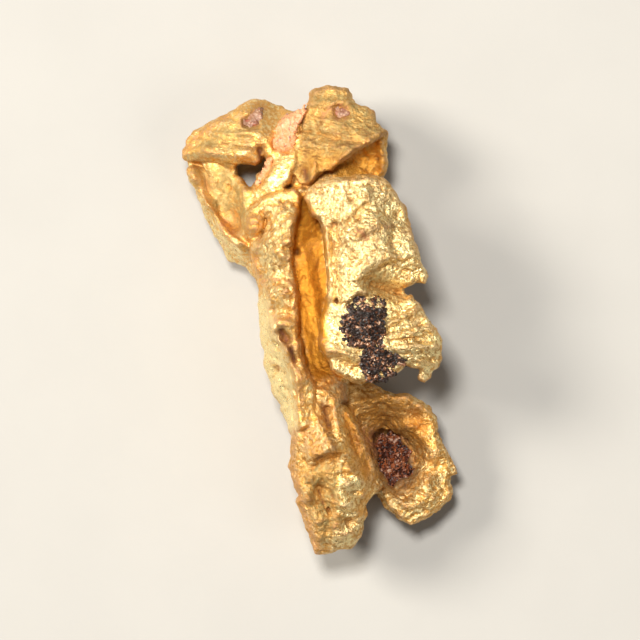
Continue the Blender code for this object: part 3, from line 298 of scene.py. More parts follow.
SPINE = {
    "outline": [
        (-3.3, 5.38), (-3.58, 4.91), (-3.63, 4.31), (-3.39, 3.74), (-3.21, 3.04), (-3.11, 2.34),
        (-2.83, 1.54), (-2.9, 0.37), (-2.78, -0.84), (-2.6, -1.68), (-2.6, -2.11), (-2.36, -2.85),
        (-2.13, -3.6), (-1.71, -3.98), (-1.8, -4.21), (-1.57, -4.68), (-1.29, -5.5), (-0.02, -4.8),
        (-0.12, -3.74), (-0.16, -3.09), (-0.49, -2.43), (-0.73, -1.64), (-0.96, -0.7), (-1.01, 1.17),
        (-1.19, 2.25), (-1.33, 2.71), (-1.24, 3.74), (-1.05, 4.68), (-0.82, 5.48), (-0.73, 5.8),
        (-1.19, 6.2), (-1.9, 6.2), (-2.74, 5.76),
    ],
    "top": [
        (-3.2, 4.5, 5.1), (-2.4, 5.2, 5.5), (-1.7, 4.9, 6.0), (-1.2, 5.0, 5.9), (-1.3, 5.8, 5.6),
        (-2.6, 3.9, 5.4), (-2.1, 3.3, 6.3), (-1.6, 3.2, 6.5), (-2.8, 1.7, 4.7), (-2.4, 1.0, 6.0),
        (-1.7, 0.9, 6.8), (-1.2, 1.0, 6.7), (-2.8, 0.0, 4.4), (-2.3, -0.2, 6.0), (-1.7, -0.4, 7.0),
        (-1.1, -0.5, 6.8), (-2.6, -1.4, 4.2), (-1.9, -1.2, 6.0), (-1.4, -1.5, 7.0), (-0.9, -1.6, 6.9),
        (-2.4, -2.6, 4.2), (-1.7, -2.4, 5.4), (-1.2, -2.7, 7.0), (-0.6, -3.0, 6.9), (-2.0, -3.6, 4.4),
        (-1.4, -3.8, 5.6), (-1.0, -3.8, 7.0), (-0.4, -4.0, 6.8), (-1.5, -4.8, 5.2), (-1.0, -4.8, 6.8),
        (-0.3, -4.9, 6.8),
    ],
    "under": [
        (-3.2, 4.6, 1.8), (-2.5, 2.6, 1.0), (-2.5, 0.0, 1.4), (-2.2, -2.4, 1.6), (-1.4, -4.6, 1.9),
        (-1.2, 4.0, 0.8), (-1.0, 0.0, 0.7), (-0.5, -3.5, 1.3),
    ],
    "rim": 0.22,
    "relief": [
        (0.4, 0.32, [(-3.1, 4.5)]), (-0.35, 0.2, [(-3.3, 3.7), (-2.8, 3.9), (-2.5, 4.7)]),
        (0.35, 0.4, [(-2.2, 2.2), (-1.8, 2.9)]), (-0.3, 0.25, [(-2.9, 2.9), (-2.5, 2.2)]),
        (-0.5, 0.35, [(-2.1, 0.5), (-1.4, 0.3)]), (0.3, 0.25, [(-2.3, 1.45), (-1.3, 1.4)]),
        (-0.6, 0.26, [(-1.75, -0.55), (-1.6, -0.85)]),
        (0.3, 0.22, [(-2.15, -0.4), (-1.75, -1.2), (-1.35, -2.2)]),
        (-0.3, 0.14, [(-1.35, -1.4), (-1.25, -1.9)]), (0.3, 0.3, [(-1.3, 4.6), (-1.5, 3.7)]),
        (-0.3, 0.3, [(-0.7, -3.6), (-0.6, -4.6)]),
    ],
    "detail": [
        (0.15, 0.1, SPINE_CREST), (-0.12, 0.12, [(-3.1, 4.5)]), (0.12, 0.09, SPINE_RING),
        (-0.22, 0.1, [(-3.4, 4.0), (-3.0, 3.9), (-2.6, 4.15), (-2.5, 4.7), (-2.8, 5.05)]),
        (-0.3, 0.08, [(-3.33, 3.74), (-3.25, 3.37)]),
        (-0.18, 0.08, [(-2.6, 3.8), (-2.2, 3.95), (-1.8, 3.6), (-1.5, 2.9), (-1.7, 2.4), (-2.2, 2.3)]),
        (-0.18, 0.08, [(-2.2, 1.65), (-1.7, 1.7), (-1.25, 1.3), (-1.3, 0.85)]),
        (0.1, 0.1, [(-2.8, -0.6), (-2.0, -0.9)]), (-0.1, 0.1, [(-2.7, -1.9), (-1.9, -1.6)]),
        (0.1, 0.1, [(-2.4, -2.6), (-1.5, -2.4)]), (-0.1, 0.1, [(-2.2, -3.3), (-1.3, -3.2)]),
        (0.1, 0.1, [(-1.8, -4.1), (-1.1, -4.0)]), (-0.2, 0.1, [(-1.35, -1.25), (-1.2, -1.95)]),
        (-0.22, 0.12, [(-1.15, 5.35)]), (0.15, 0.12, [(-0.95, 5.0)]), (-0.25, 0.13, [(-1.15, 4.35)]),
        (0.15, 0.12, [(-1.3, 3.95)]), (-0.22, 0.12, [(-1.4, 3.4), (-1.6, 3.3)]),
        (0.18, 0.12, [(-1.35, 2.9)]), (-0.22, 0.12, [(-1.2, 2.2)]),
        (0.15, 0.12, [(-1.1, 1.7), (-1.3, 1.6)]),
    ],
    "ledges": [
        (0.18, 0.35, [(-2.9, 3.3), (-2.3, 3.6), (-1.7, 3.4), (-1.3, 3.5)]),
        (-0.15, 0.3, [(-2.7, 1.9), (-2.1, 2.1), (-1.3, 1.8)]),
        (0.15, 0.35, [(-2.7, -1.0), (-2.3, -1.3), (-2.0, -1.9)]),
        (-0.15, 0.3, [(-2.5, -2.3), (-2.0, -2.6), (-1.7, -3.2)]),
        (0.15, 0.3, [(-2.1, -3.3), (-1.6, -3.6), (-1.4, -4.2)]),
    ],
}

CHANNEL = {
    "outline": [
        (-1.9, 5.6), (-1.0, 6.3), (1.2, 6.3), (1.5, 3.3), (1.4, 0.9), (1.3, -3.8), (-0.9, -4.7),
        (-1.7, -2.8), (-1.9, 0.9),
    ],
    "top": [
        (-0.9, 5.9, 5.2), (-0.5, 5.2, 4.6), (-0.3, 4.2, 4.1), (-0.3, 2.8, 4.0), (-0.4, 1.2, 4.1),
        (-0.4, -0.6, 4.4), (-0.3, -1.9, 4.9), (0.1, -2.6, 5.4), (0.3, -3.3, 6.1), (-0.9, 3.2, 4.1),
        (0.3, 3.0, 3.8), (0.2, 0.5, 4.0), (1.0, -3.2, 5.4),
    ],
    "under": [(0.0, 5.0, 1.2), (0.0, 2.0, 0.8), (0.0, -1.0, 1.1), (0.2, -3.5, 1.4)],
    "rim": 0.3,
    "relief": [(0.15, 0.3, [(-0.7, 3.0), (-0.4, 1.4), (-0.1, 0.0)]), (-0.12, 0.25, [(0.1, 2.4), (0.2, 1.6)])],
    "detail": [
        (0.05, 0.14, [(-0.75, 0.6), (-0.5, -1.5), (-0.2, -2.3)]),
        (0.04, 0.12, [(-0.45, -0.3), (-0.2, -1.4), (0.05, -2.2)]),
        (0.06, 0.1, [(-0.2, 0.0), (-0.05, -1.0)]), (-0.3, 0.12, [(-1.1, 3.2)]),
        (-0.15, 0.07, [(-0.96, 1.03)]), (-0.3, 0.12, [(-1.4, 5.95), (-0.95, 5.8)]),
    ],
}

PLATE = {
    "outline": [
        (-0.54, 6.13), (-0.02, 6.46), (0.44, 6.6), (1.47, 6.65), (1.66, 6.76), (2.08, 6.79), (3.02, 6.65),
        (3.25, 6.41), (3.63, 5.76), (3.95, 5.29), (4.05, 4.91), (4.19, 4.21), (4.47, 3.6), (4.66, 3.18),
        (4.7, 2.76), (5.05, 2.06), (4.89, 1.75), (4.47, 1.75), (3.91, 1.45), (4.05, 1.08), (4.24, 1.1),
        (4.52, 0.84), (4.84, 0.28), (5.12, 0.02), (5.41, -0.42), (5.59, -0.84), (5.69, -1.4), (5.66, -1.78),
        (5.52, -2.2), (5.17, -2.34), (5.17, -2.71), (4.89, -2.95), (4.61, -2.76), (4.66, -2.34),
        (4.24, -2.2), (4.0, -2.06), (3.63, -2.39), (3.16, -2.71), (2.78, -2.81), (2.32, -2.81),
        (1.85, -2.97), (1.47, -2.9), (0.91, -2.62), (0.59, -2.34), (0.49, -1.97), (0.07, -1.4),
        (-0.02, -1.17), (-0.02, -0.7), (0.02, -0.23), (0.16, 0.7), (0.35, 1.4), (0.4, 2.11), (0.21, 3.04),
        (0.14, 3.74), (0.16, 4.17), (-0.02, 4.68), (-0.35, 4.82), (-0.54, 5.15), (-0.68, 5.71),
    ],
    "top": [
        (-0.4, 5.8, 6.7), (0.4, 6.3, 7.2), (2.1, 6.5, 7.4), (3.0, 6.4, 7.2), (1.1, 5.6, 7.7),
        (2.5, 5.4, 7.9), (3.7, 4.9, 7.4), (0.2, 4.2, 7.4), (1.4, 4.2, 8.2), (2.8, 4.0, 8.3),
        (4.1, 4.0, 7.7), (0.4, 2.3, 7.8), (1.4, 2.6, 8.5), (2.5, 2.7, 8.3), (4.4, 3.0, 7.8),
        (4.8, 2.1, 7.4), (0.9, 0.9, 8.2), (0.2, 0.5, 7.6), (0.2, -0.9, 7.7), (0.7, -1.6, 7.9),
        (1.1, -2.4, 7.6), (3.5, 1.2, 7.3), (4.4, 0.5, 7.6), (3.7, -0.5, 8.1), (5.1, -1.2, 7.6),
        (4.7, -2.0, 7.6), (3.7, -2.0, 7.9), (4.9, -2.7, 7.0), (2.0, -1.0, 7.8),
    ],
    "under": [
        (-0.4, 5.5, 5.3), (1.5, 6.2, 5.6), (3.2, 5.6, 6.1), (0.4, 3.0, 5.4), (2.2, 3.0, 5.8),
        (4.2, 3.2, 6.5), (4.8, 2.0, 6.5), (0.5, 0.0, 5.5), (2.4, 0.0, 5.5), (4.3, 0.4, 6.4),
        (5.3, -1.2, 6.6), (3.6, -1.6, 6.2), (4.9, -2.6, 6.3), (1.0, -2.2, 5.8), (2.6, -2.5, 5.8),
    ],
    "rim": 0.2,
    "relief": [
        (-0.35, 0.22, [(0.6, 4.4), (0.68, 3.7), (0.63, 2.7), (0.73, 1.4), (0.78, 0.85)]),
        (0.15, 0.16, [(0.3, 4.2), (0.38, 2.4), (0.5, 1.0)]),
        (-0.2, 0.25, [(2.08, 5.4), (1.5, 4.9), (1.0, 4.45)]),
        (-0.6, 0.34, [(2.3, 1.7), (2.9, 1.5), (3.8, 1.25)]),
        (0.2, 0.3, [(1.7, 2.0), (2.2, 2.75), (3.2, 3.0)]), (-0.3, 0.3, [(4.0, 4.5)]),
        (-0.05, 0.15, [(1.4, 6.3), (1.43, 5.5)]), (-0.05, 0.15, [(2.42, 6.4), (2.5, 5.6)]),
        (0.25, 0.18, [(3.2, -0.2), (4.4, 0.35)]), (0.25, 0.18, [(3.2, -0.85), (5.1, -0.45)]),
        (0.25, 0.18, [(3.5, -1.35), (5.4, -1.3)]), (-0.25, 0.3, [(0.9, 3.4), (1.5, 3.0)]),
        (0.25, 0.3, [(1.6, 4.0), (2.6, 4.5)]), (0.22, 0.2, [(0.4, -1.4), (1.0, -1.45), (1.8, -1.8)]),
        (-0.25, 0.2, [(0.5, -1.8), (1.1, -1.95), (1.8, -2.2)]),
    ],
    "detail": [
        (-0.3, 0.12, [(1.47, 5.57)]), (-0.3, 0.12, [(1.75, 4.73)]), (-0.3, 0.12, [(0.73, 4.49)]),
        (-0.3, 0.1, [(0.77, 0.89)]), (0.14, 0.1, [(3.2, -0.25), (4.42, 0.47)]),
        (0.14, 0.1, [(3.15, -0.7), (5.12, -0.23)]), (0.14, 0.1, [(3.4, -1.17), (5.45, -1.17)]),
        (0.14, 0.1, [(3.7, -1.5), (5.36, -2.11)]), (0.1, 0.08, [(-0.3, 6.2), (1.5, 6.5), (3.0, 6.5)]),
        (0.1, 0.1, [(3.25, 3.0), (4.6, 2.6)]), (-0.1, 0.1, [(3.0, 2.6), (4.5, 2.2)]),
        (-0.12, 0.2, [(3.6, 4.9), (3.3, 3.6)]), (-0.08, 0.12, [(0.72, 4.4), (0.8, 3.8), (0.98, 3.4)]),
    ],
    "ledges": [
        (0.3, 0.6, [(2.1, 0.9), (2.25, 1.7), (2.45, 2.2), (2.75, 2.5), (3.3, 2.7), (4.0, 2.85)]),
        (0.22, 0.4, [(1.0, 4.4), (1.5, 4.85), (1.75, 5.2), (2.1, 5.45)]),
        (-0.05, 0.5, [(1.35, 6.4), (1.4, 5.5)]), (0.06, 0.5, [(2.3, 5.6), (2.35, 6.5)]),
        (0.1, 0.4, [(3.0, -0.4), (3.8, 0.1), (4.5, 0.4)]),
        (0.1, 0.4, [(3.2, -0.85), (4.2, -0.6), (5.2, -0.5)]),
        (0.1, 0.4, [(3.4, -1.4), (4.4, -1.3), (5.4, -1.35)]),
        (0.12, 0.4, [(0.35, -1.2), (0.9, -1.3), (1.9, -1.35)]),
        (-0.1, 0.5, [(2.9, 4.9), (3.4, 4.2), (3.3, 3.4)]),
    ],
}

PLATE_ROOT = {
    "outline": [
        (-0.2, 6.0), (0.4, 6.3), (2.6, 6.3), (3.0, 5.0), (2.5, 3.2), (2.1, 1.0), (2.5, -1.2), (2.2, -2.4),
        (1.2, -2.7), (0.7, -2.0), (0.3, -1.2), (0.2, -0.4), (0.5, 1.4), (0.55, 2.6), (0.3, 4.0),
        (-0.1, 4.9),
    ],
    "top": [(1.0, 5.0, 6.4), (1.0, 0.0, 6.4)],
    "under": [(0.5, 5.4, 1.4), (2.0, 5.0, 2.4), (1.4, 2.6, 1.6), (1.4, -0.4, 1.6), (1.6, -2.2, 2.6)],
    "rim": 0.3,
    "relief": [(0.5, 0.4, [(2.2, 4.4), (1.6, 3.4)])],
}

FOOT = {
    "outline": [
        (-1.33, -5.8), (-1.33, -6.32), (-1.45, -6.9), (-1.33, -7.39), (-1.01, -8.19), (-1.1, -8.52),
        (-0.82, -9.08), (-0.63, -9.83), (-0.49, -10.2), (-0.35, -10.76), (-0.26, -10.95), (0.3, -11.0),
        (0.91, -10.81), (1.52, -10.72), (1.66, -10.44), (1.94, -10.06), (2.04, -9.83), (1.99, -9.45),
        (2.22, -9.13), (2.13, -8.75), (2.32, -8.38), (2.64, -8.14), (2.92, -7.82), (2.69, -7.02),
        (2.36, -6.32), (2.08, -5.62), (1.76, -4.91), (1.38, -4.31), (1.05, -3.98), (0.9, -3.3),
        (-0.02, -3.5), (-0.96, -4.21), (-1.29, -5.38),
    ],
    "top": [
        (-1.0, -5.6, 6.3), (0.0, -5.4, 7.0), (0.5, -5.8, 7.2), (1.1, -5.4, 6.5), (0.2, -3.9, 6.3),
        (1.0, -4.2, 5.9), (1.8, -5.8, 5.7), (2.3, -6.8, 5.1), (2.6, -7.8, 4.7), (-1.1, -7.0, 5.7),
        (-0.5, -7.2, 6.4), (0.7, -7.2, 6.6), (1.6, -7.5, 6.0), (-0.7, -8.6, 5.6), (0.2, -8.6, 6.3),
        (1.4, -8.4, 6.0), (2.1, -8.4, 5.2), (-0.4, -9.8, 5.3), (0.5, -9.8, 6.0), (1.4, -9.6, 5.7),
        (-0.1, -10.7, 4.8), (1.2, -10.5, 5.1),
    ],
    "under": [
        (-0.8, -5.0, 2.2), (0.5, -4.5, 2.0), (-0.9, -7.0, 3.2), (1.2, -6.4, 1.8), (2.3, -7.2, 2.4),
        (0.3, -8.4, 2.0), (0.6, -9.7, 2.0), (-0.1, -10.7, 2.8), (1.8, -9.4, 2.8), (1.2, -10.6, 2.6),
    ],
    "rim": 0.25,
    "relief": [
        (-0.4, 0.2, [(0.25, -3.9), (0.35, -4.5), (0.4, -5.0)]),
        (0.3, 0.22, [(0.65, -3.9), (0.85, -4.8), (1.1, -5.6), (1.3, -6.4)]),
        (-0.4, 0.2, [(1.1, -4.2), (1.4, -5.1), (1.7, -6.1)]),
        (0.3, 0.16, [(1.1, -4.0), (1.7, -4.9), (2.1, -5.7), (2.4, -6.4), (2.7, -7.2)]),
        (-0.5, 0.28, [(0.7, -6.4), (0.2, -6.55), (-0.4, -6.8)]),
        (0.35, 0.25, [(0.6, -5.9), (0.1, -6.1), (-0.3, -6.3)]),
        (0.3, 0.22, [(-0.9, -7.6), (-0.3, -9.0), (0.0, -10.2)]), (0.25, 0.2, [(-0.95, -8.4), (-0.6, -8.3)]),
        (0.22, 0.2, [(1.4, -7.0), (2.0, -7.4), (1.9, -8.2)]), (-0.4, 0.32, [(0.1, -7.8), (0.4, -8.9)]),
        (-0.35, 0.3, [(1.0, -8.9), (1.3, -9.6)]),
    ],
    "detail": [
        (0.18, 0.08, [(0.63, -6.08), (0.21, -6.22), (-0.12, -6.36), (-0.26, -6.65)]),
        (0.2, 0.12, [(0.07, -4.9), (0.63, -6.08)]), (0.15, 0.15, [(-1.0, -7.9), (-0.5, -8.5)]),
        (0.15, 0.12, [(-0.4, -9.8), (-0.1, -10.3)]), (-0.2, 0.06, [(-0.07, -7.96), (0.16, -8.6)]),
        (-0.25, 0.1, [(0.58, -8.19)]), (-0.25, 0.1, [(0.4, -8.85)]),
        (0.32, 0.3, [(1.2, -7.6), (1.6, -7.6)]), (0.3, 0.28, [(1.1, -8.7), (1.4, -8.6)]),
        (0.32, 0.3, [(1.1, -10.1), (1.4, -9.9)]), (-0.28, 0.3, [(0.0, -7.4), (-0.1, -8.3)]),
        (-0.25, 0.25, [(0.5, -9.2), (0.4, -9.8)]), (0.12, 0.25, [(-0.55, -7.3), (-0.45, -8.4)]),
        (0.15, 0.1, [(1.4, -7.0), (2.1, -7.7), (1.95, -8.2)]),
    ],
    "ledges": [
        (0.28, 0.6, [(-0.26, -6.65), (-0.12, -6.36), (0.21, -6.22), (0.63, -6.08), (0.45, -5.5),
                     (0.1, -4.9)]),
        (0.15, 0.4, [(-0.9, -7.7), (-0.5, -7.6), (0.1, -7.75)]),
        (0.15, 0.4, [(-0.5, -8.5), (0.3, -8.45), (0.9, -8.7)]),
        (0.15, 0.4, [(0.0, -9.5), (0.8, -9.25), (1.6, -9.3)]),
        (0.15, 0.3, [(1.0, -7.1), (1.4, -7.0), (2.1, -7.7), (1.95, -8.2)]),
    ],
}

LOBE = {
    "outline": [
        (0.9, -2.9), (1.85, -3.0), (2.41, -3.04), (2.88, -3.28), (3.53, -3.56), (4.24, -3.53),
        (4.89, -3.88), (5.31, -4.26), (5.55, -4.96), (5.73, -5.76), (6.06, -6.32), (6.44, -6.93),
        (6.48, -7.25), (6.15, -7.42), (6.06, -7.58), (6.2, -7.91), (6.2, -8.19), (5.83, -8.61),
        (5.41, -9.08), (4.84, -9.45), (4.33, -9.64), (3.72, -9.31), (3.11, -8.7), (2.69, -8.14),
        (2.0, -7.4), (1.3, -6.1), (0.6, -4.7), (0.3, -3.5),
    ],
    "top": [
        (1.2, -3.2, 3.9), (2.4, -3.3, 3.7), (3.7, -3.8, 3.6), (4.9, -4.2, 3.4), (5.4, -5.2, 3.1),
        (5.9, -6.5, 3.0), (6.2, -7.2, 2.7), (6.0, -8.2, 2.9), (5.2, -9.0, 3.1), (4.2, -9.4, 3.3),
        (3.3, -8.7, 3.5), (2.7, -8.0, 3.5), (3.2, -5.8, 0.8), (3.6, -6.7, 1.1), (3.1, -7.3, 1.5),
        (3.7, -7.5, 1.8), (2.2, -5.2, 2.3), (2.5, -6.4, 2.2), (3.3, -4.6, 2.5), (4.2, -5.2, 2.7),
        (4.9, -6.6, 2.8), (4.4, -8.0, 3.2), (2.2, -4.2, 3.0),
    ],
    "under": [
        (1.2, -3.6, 1.8), (2.4, -3.6, 2.3), (3.8, -3.9, 2.3), (5.2, -4.8, 2.1), (4.2, -6.0, 0.0),
        (4.6, -7.2, -0.3), (6.2, -7.2, 1.7), (5.2, -8.9, 2.0), (3.4, -8.7, 1.7), (3.5, -7.9, 0.1),
        (3.2, -6.2, -0.2), (2.0, -5.2, 0.9), (4.2, -9.4, 2.2), (3.6, -7.4, 0.1), (5.4, -6.4, 0.9),
        (5.2, -7.8, 0.9),
    ],
    "rim": 0.25,
    "relief": [
        (0.45, 0.25, [(3.5, -5.05), (4.3, -5.0)]), (0.35, 0.4, [(4.9, -5.5), (5.4, -6.2)]),
        (0.25, 0.35, [(4.5, -7.6), (5.5, -7.3)]), (-0.3, 0.3, [(4.4, -5.7), (4.9, -6.6)]),
        (-0.3, 0.3, [(5.5, -6.9), (5.7, -7.8)]), (0.2, 0.2, [(3.4, -8.2), (4.2, -8.7), (5.2, -8.3)]),
        (-0.2, 0.2, [(4.2, -4.4), (4.8, -5.0)]),
    ],
    "detail": [
        (0.12, 0.12, [(4.1, -3.74), (5.03, -4.31), (5.31, -5.15), (5.5, -5.99)]),
        (0.12, 0.12, [(3.0, -8.05), (4.2, -8.9), (5.36, -8.42), (5.97, -7.5)]),
        (0.15, 0.15, [(3.4, -4.9), (3.7, -5.3)]), (-0.1, 0.12, [(4.5, -4.5), (5.0, -5.3)]),
    ],
    "ledges": [
        (-0.4, 0.5, [(3.3, -5.2), (3.9, -5.5), (4.35, -6.2), (4.45, -7.0), (4.2, -7.7)]),
        (0.2, 0.4, [(2.9, -8.2), (3.9, -8.0), (5.0, -8.3)]),
        (0.25, 0.3, [(3.9, -5.3), (4.3, -5.6), (4.2, -6.1)]),
        (0.2, 0.3, [(4.9, -6.6), (4.6, -7.1), (4.9, -7.6)]),
    ],
}

BACK = {
    "outline": [
        (-2.6, 5.8), (-1.0, 7.9), (1.6, 9.2), (2.5, 7.5), (2.3, 4.5), (2.1, 1.0), (1.8, -1.8), (1.4, -3.6),
        (2.1, -5.6), (2.3, -7.2), (0.5, -9.0), (-0.5, -7.0), (-1.1, -4.6), (-2.1, -1.9), (-2.4, 1.4),
    ],
    "top": [(0.0, 6.0, 3.9), (0.0, 0.0, 3.9), (0.5, -6.0, 3.6)],
    "under": [
        (-1.5, 5.0, 0.5), (0.8, 8.0, 0.9), (1.5, 5.0, 0.7), (1.2, 2.0, 1.3), (-1.0, 2.2, 0.5),
        (-0.8, -1.2, 0.5), (1.0, -1.6, 1.2), (0.4, -4.6, 0.8), (1.2, -6.6, 1.0), (0.3, -8.2, 1.3),
    ],
    "rim": 0.5,
}

# Folds that stand on edge under the sheets. A point is (x, y, half width, height of the fold's lower edge).
KEELS = [
    [(-5.3, 8.5, 0.5, 1.7), (-4.9, 7.9, 0.7, 0.5), (-4.75, 7.0, 0.7, -0.35), (-4.7, 6.1, 0.6, 0.2),
     (-4.2, 5.3, 0.8, 0.6), (-3.4, 4.4, 0.9, 0.3), (-2.8, 3.2, 0.7, 0.9)],
    [(-2.3, 9.7, 0.5, 1.6), (-2.0, 8.7, 0.6, 0.8), (-1.8, 7.2, 0.6, 0.3), (-1.6, 5.6, 0.8, 0.2),
     (-1.2, 3.6, 0.9, 0.0), (-1.7, 1.8, 0.8, 0.4)],
    [(0.1, 10.2, 0.5, 1.5), (1.0, 9.7, 0.7, 0.7), (1.9, 9.0, 0.8, -0.35), (2.2, 8.1, 0.7, 0.1),
     (2.1, 7.1, 0.7, 0.7), (1.7, 5.9, 0.7, 0.4), (1.8, 4.4, 0.6, 0.2), (1.3, 2.9, 0.7, 0.5)],
    [(2.2, 2.8, 0.4, 1.6), (1.9, 1.2, 0.6, 0.8), (1.5, -0.2, 0.7, 0.2), (1.6, -1.6, 0.5, 0.7),
     (1.1, -2.9, 0.6, 0.9)],
    [(-2.0, 0.6, 0.5, 0.9), (-1.6, -0.9, 0.7, 0.1), (-0.9, -2.2, 0.7, 0.0), (-0.5, -3.8, 0.6, 0.6),
     (0.1, -5.0, 0.6, 0.9)],
    [(1.5, -4.6, 0.5, 0.9), (1.2, -6.0, 0.7, 0.5), (0.8, -7.4, 0.8, 0.6), (0.5, -8.7, 0.8, 0.0),
     (0.6, -9.5, 0.8, -0.35), (0.4, -10.3, 0.5, 0.9)],
]

SHEETS = [WING, BLOCK_FACE, BLOCK_BACK, SPINE, CHANNEL, PLATE, PLATE_ROOT, FOOT, LOBE, BACK]

# Stones: an outline, the heights of the upper side, how far that is sunk, and where the colour is deeper.
QUARTZ_WEDGE = {
    "outline": [
        (-1.99, 9.27), (-1.66, 9.59), (-0.96, 9.87), (-0.6, 10.2), (-0.62, 9.85), (-0.9, 9.4), (-1.1, 8.7),
        (-1.15, 8.1), (-1.45, 7.85), (-2.13, 7.96), (-2.32, 8.33), (-2.13, 8.66),
    ],
    "top": [(-1.8, 9.2, 4.4), (-0.8, 9.9, 4.4), (-1.3, 9.0, 4.75), (-1.4, 8.1, 4.8), (-2.1, 8.3, 4.6)],
    "deep": [(-2.5, 8.7), (-1.7, 8.7), (-0.9, 8.2), (-1.3, 7.6), (-2.5, 7.6)],
    "sunk": 0.02,
}
QUARTZ_HOLE_EDGE = {
    "outline": [
        (-2.45, 7.6), (-2.2, 7.6), (-2.2, 7.35), (-2.42, 6.85), (-2.95, 6.25), (-3.05, 6.42), (-2.75, 6.95),
    ],
    "top": [(-2.3, 7.5, 4.6), (-2.5, 7.0, 4.5), (-2.9, 6.4, 4.3)],
    "sunk": 0.0,
}
QUARTZ_TOP_LEFT = {
    "outline": [
        (-3.66, 9.14), (-3.64, 9.42), (-3.29, 9.63), (-3.12, 9.82), (-2.72, 9.95), (-2.6, 9.75),
        (-2.62, 9.45), (-2.8, 9.25), (-2.85, 9.02), (-3.21, 9.0),
    ],
    "top": [(-3.5, 9.2, 4.3), (-3.1, 9.6, 4.2), (-2.9, 9.2, 4.4)],
    "sunk": 0.1,
}
QUARTZ_TOP_RIGHT = {
    "outline": [
        (0.6, 9.98), (0.85, 10.1), (1.24, 9.93), (1.53, 9.72), (1.44, 9.52), (1.16, 9.44), (0.85, 9.42),
        (0.66, 9.58),
    ],
    "top": [(0.8, 9.8, 4.95), (1.4, 9.7, 5.05), (1.1, 9.5, 5.1)],
    "sunk": 0.12,
}
POCKET_QUARTZ = {
    "outline": [
        (2.5, -5.5), (2.85, -5.2), (3.2, -5.4), (3.4, -5.15), (3.8, -5.5), (3.85, -5.9), (4.4, -6.2),
        (4.2, -6.7), (4.55, -7.1), (4.25, -7.7), (3.8, -7.65), (3.5, -8.0), (3.1, -7.85), (2.95, -7.3),
        (2.6, -6.9), (2.75, -6.3),
    ],
    "top": [(3.1, -5.8, 0.9), (3.7, -6.2, 1.8), (3.0, -6.8, 1.7), (3.9, -6.9, 2.0), (3.5, -7.4, 2.1)],
    "sunk": 0.1,
}
IRONSTONE = {
    "outline": [
        (1.76, 1.22), (2.41, 1.12), (3.02, 0.9), (3.15, 0.5), (3.05, -0.25), (3.2, -0.7), (3.02, -0.98),
        (3.3, -1.42), (3.85, -1.65), (3.95, -2.05), (3.35, -2.6), (2.75, -2.78), (2.32, -2.78),
        (1.95, -2.35), (1.95, -1.7), (2.05, -1.3), (1.4, -1.3), (1.05, -1.2), (1.12, -0.95), (0.98, -0.4),
        (1.1, 0.25), (1.35, 0.85),
    ],
    "top": [
        (1.9, 1.0, 8.2), (2.8, 0.6, 8.0), (1.4, 0.2, 8.4), (2.2, 0.0, 8.7), (2.8, -0.5, 8.3),
        (1.3, -0.9, 8.2), (2.4, -1.3, 8.3), (3.3, -1.8, 8.3), (2.5, -2.3, 8.1), (3.0, -2.4, 7.9),
    ],
    "sunk": 0.2,
}

# Parts of the sheets that several lists below name.
WING_LOWER = [(-6.0, 7.3), (-4.2, 7.2), (-3.3, 5.6), (-3.5, 4.0), (-4.8, 4.9), (-5.7, 6.5)]
WING_WALL = [
    (-6.4, 7.4), (-5.8, 6.0), (-5.0, 4.9), (-4.1, 3.8), (-3.4, 3.3), (-3.4, 2.4), (-4.9, 2.4), (-6.2, 4.4),
]
SPINE_WALL = [
    (-3.2, 1.2), (-2.2, 0.9), (-1.8, -1.2), (-1.3, -2.8), (-1.0, -5.4), (-1.8, -5.0), (-3.0, -1.4),
]
FOOT_UPPER = [(0.9, -7.1), (1.9, -7.2), (1.8, -8.1), (0.9, -8.0)]
FOOT_MIDDLE = [(0.9, -8.2), (1.7, -8.3), (1.5, -9.2), (0.8, -9.1)]
FOOT_END = [(0.9, -9.6), (1.9, -9.4), (1.5, -10.7), (0.4, -10.9)]

# Grain of the gold's skin: an outline, the height that it starts from, how rough it is and how crumpled.
ROUGH_AREAS = [
    (PLATE["outline"], 6.2, 0.65, 0.08), (BLOCK_FACE["outline"], 4.0, 0.5, 0.3),
    (FOOT["outline"], 4.6, 0.7, 0.6), (SPINE["outline"], 4.4, 0.35, 0.7), (WING["outline"], 1.6, 0.3, 0.2),
    (LOBE["outline"], 1.9, 0.6, 0.6),
    ([(-1.2, 5.9), (-0.2, 4.9), (0.3, 3.6), (0.4, 0.9), (0.3, -1.6), (-0.7, -2.0),
      (-1.1, 1.2)], 3.2, 0.12, 0.12),
    (SPINE_WALL, 2.6, 0.2, 0.3),
]

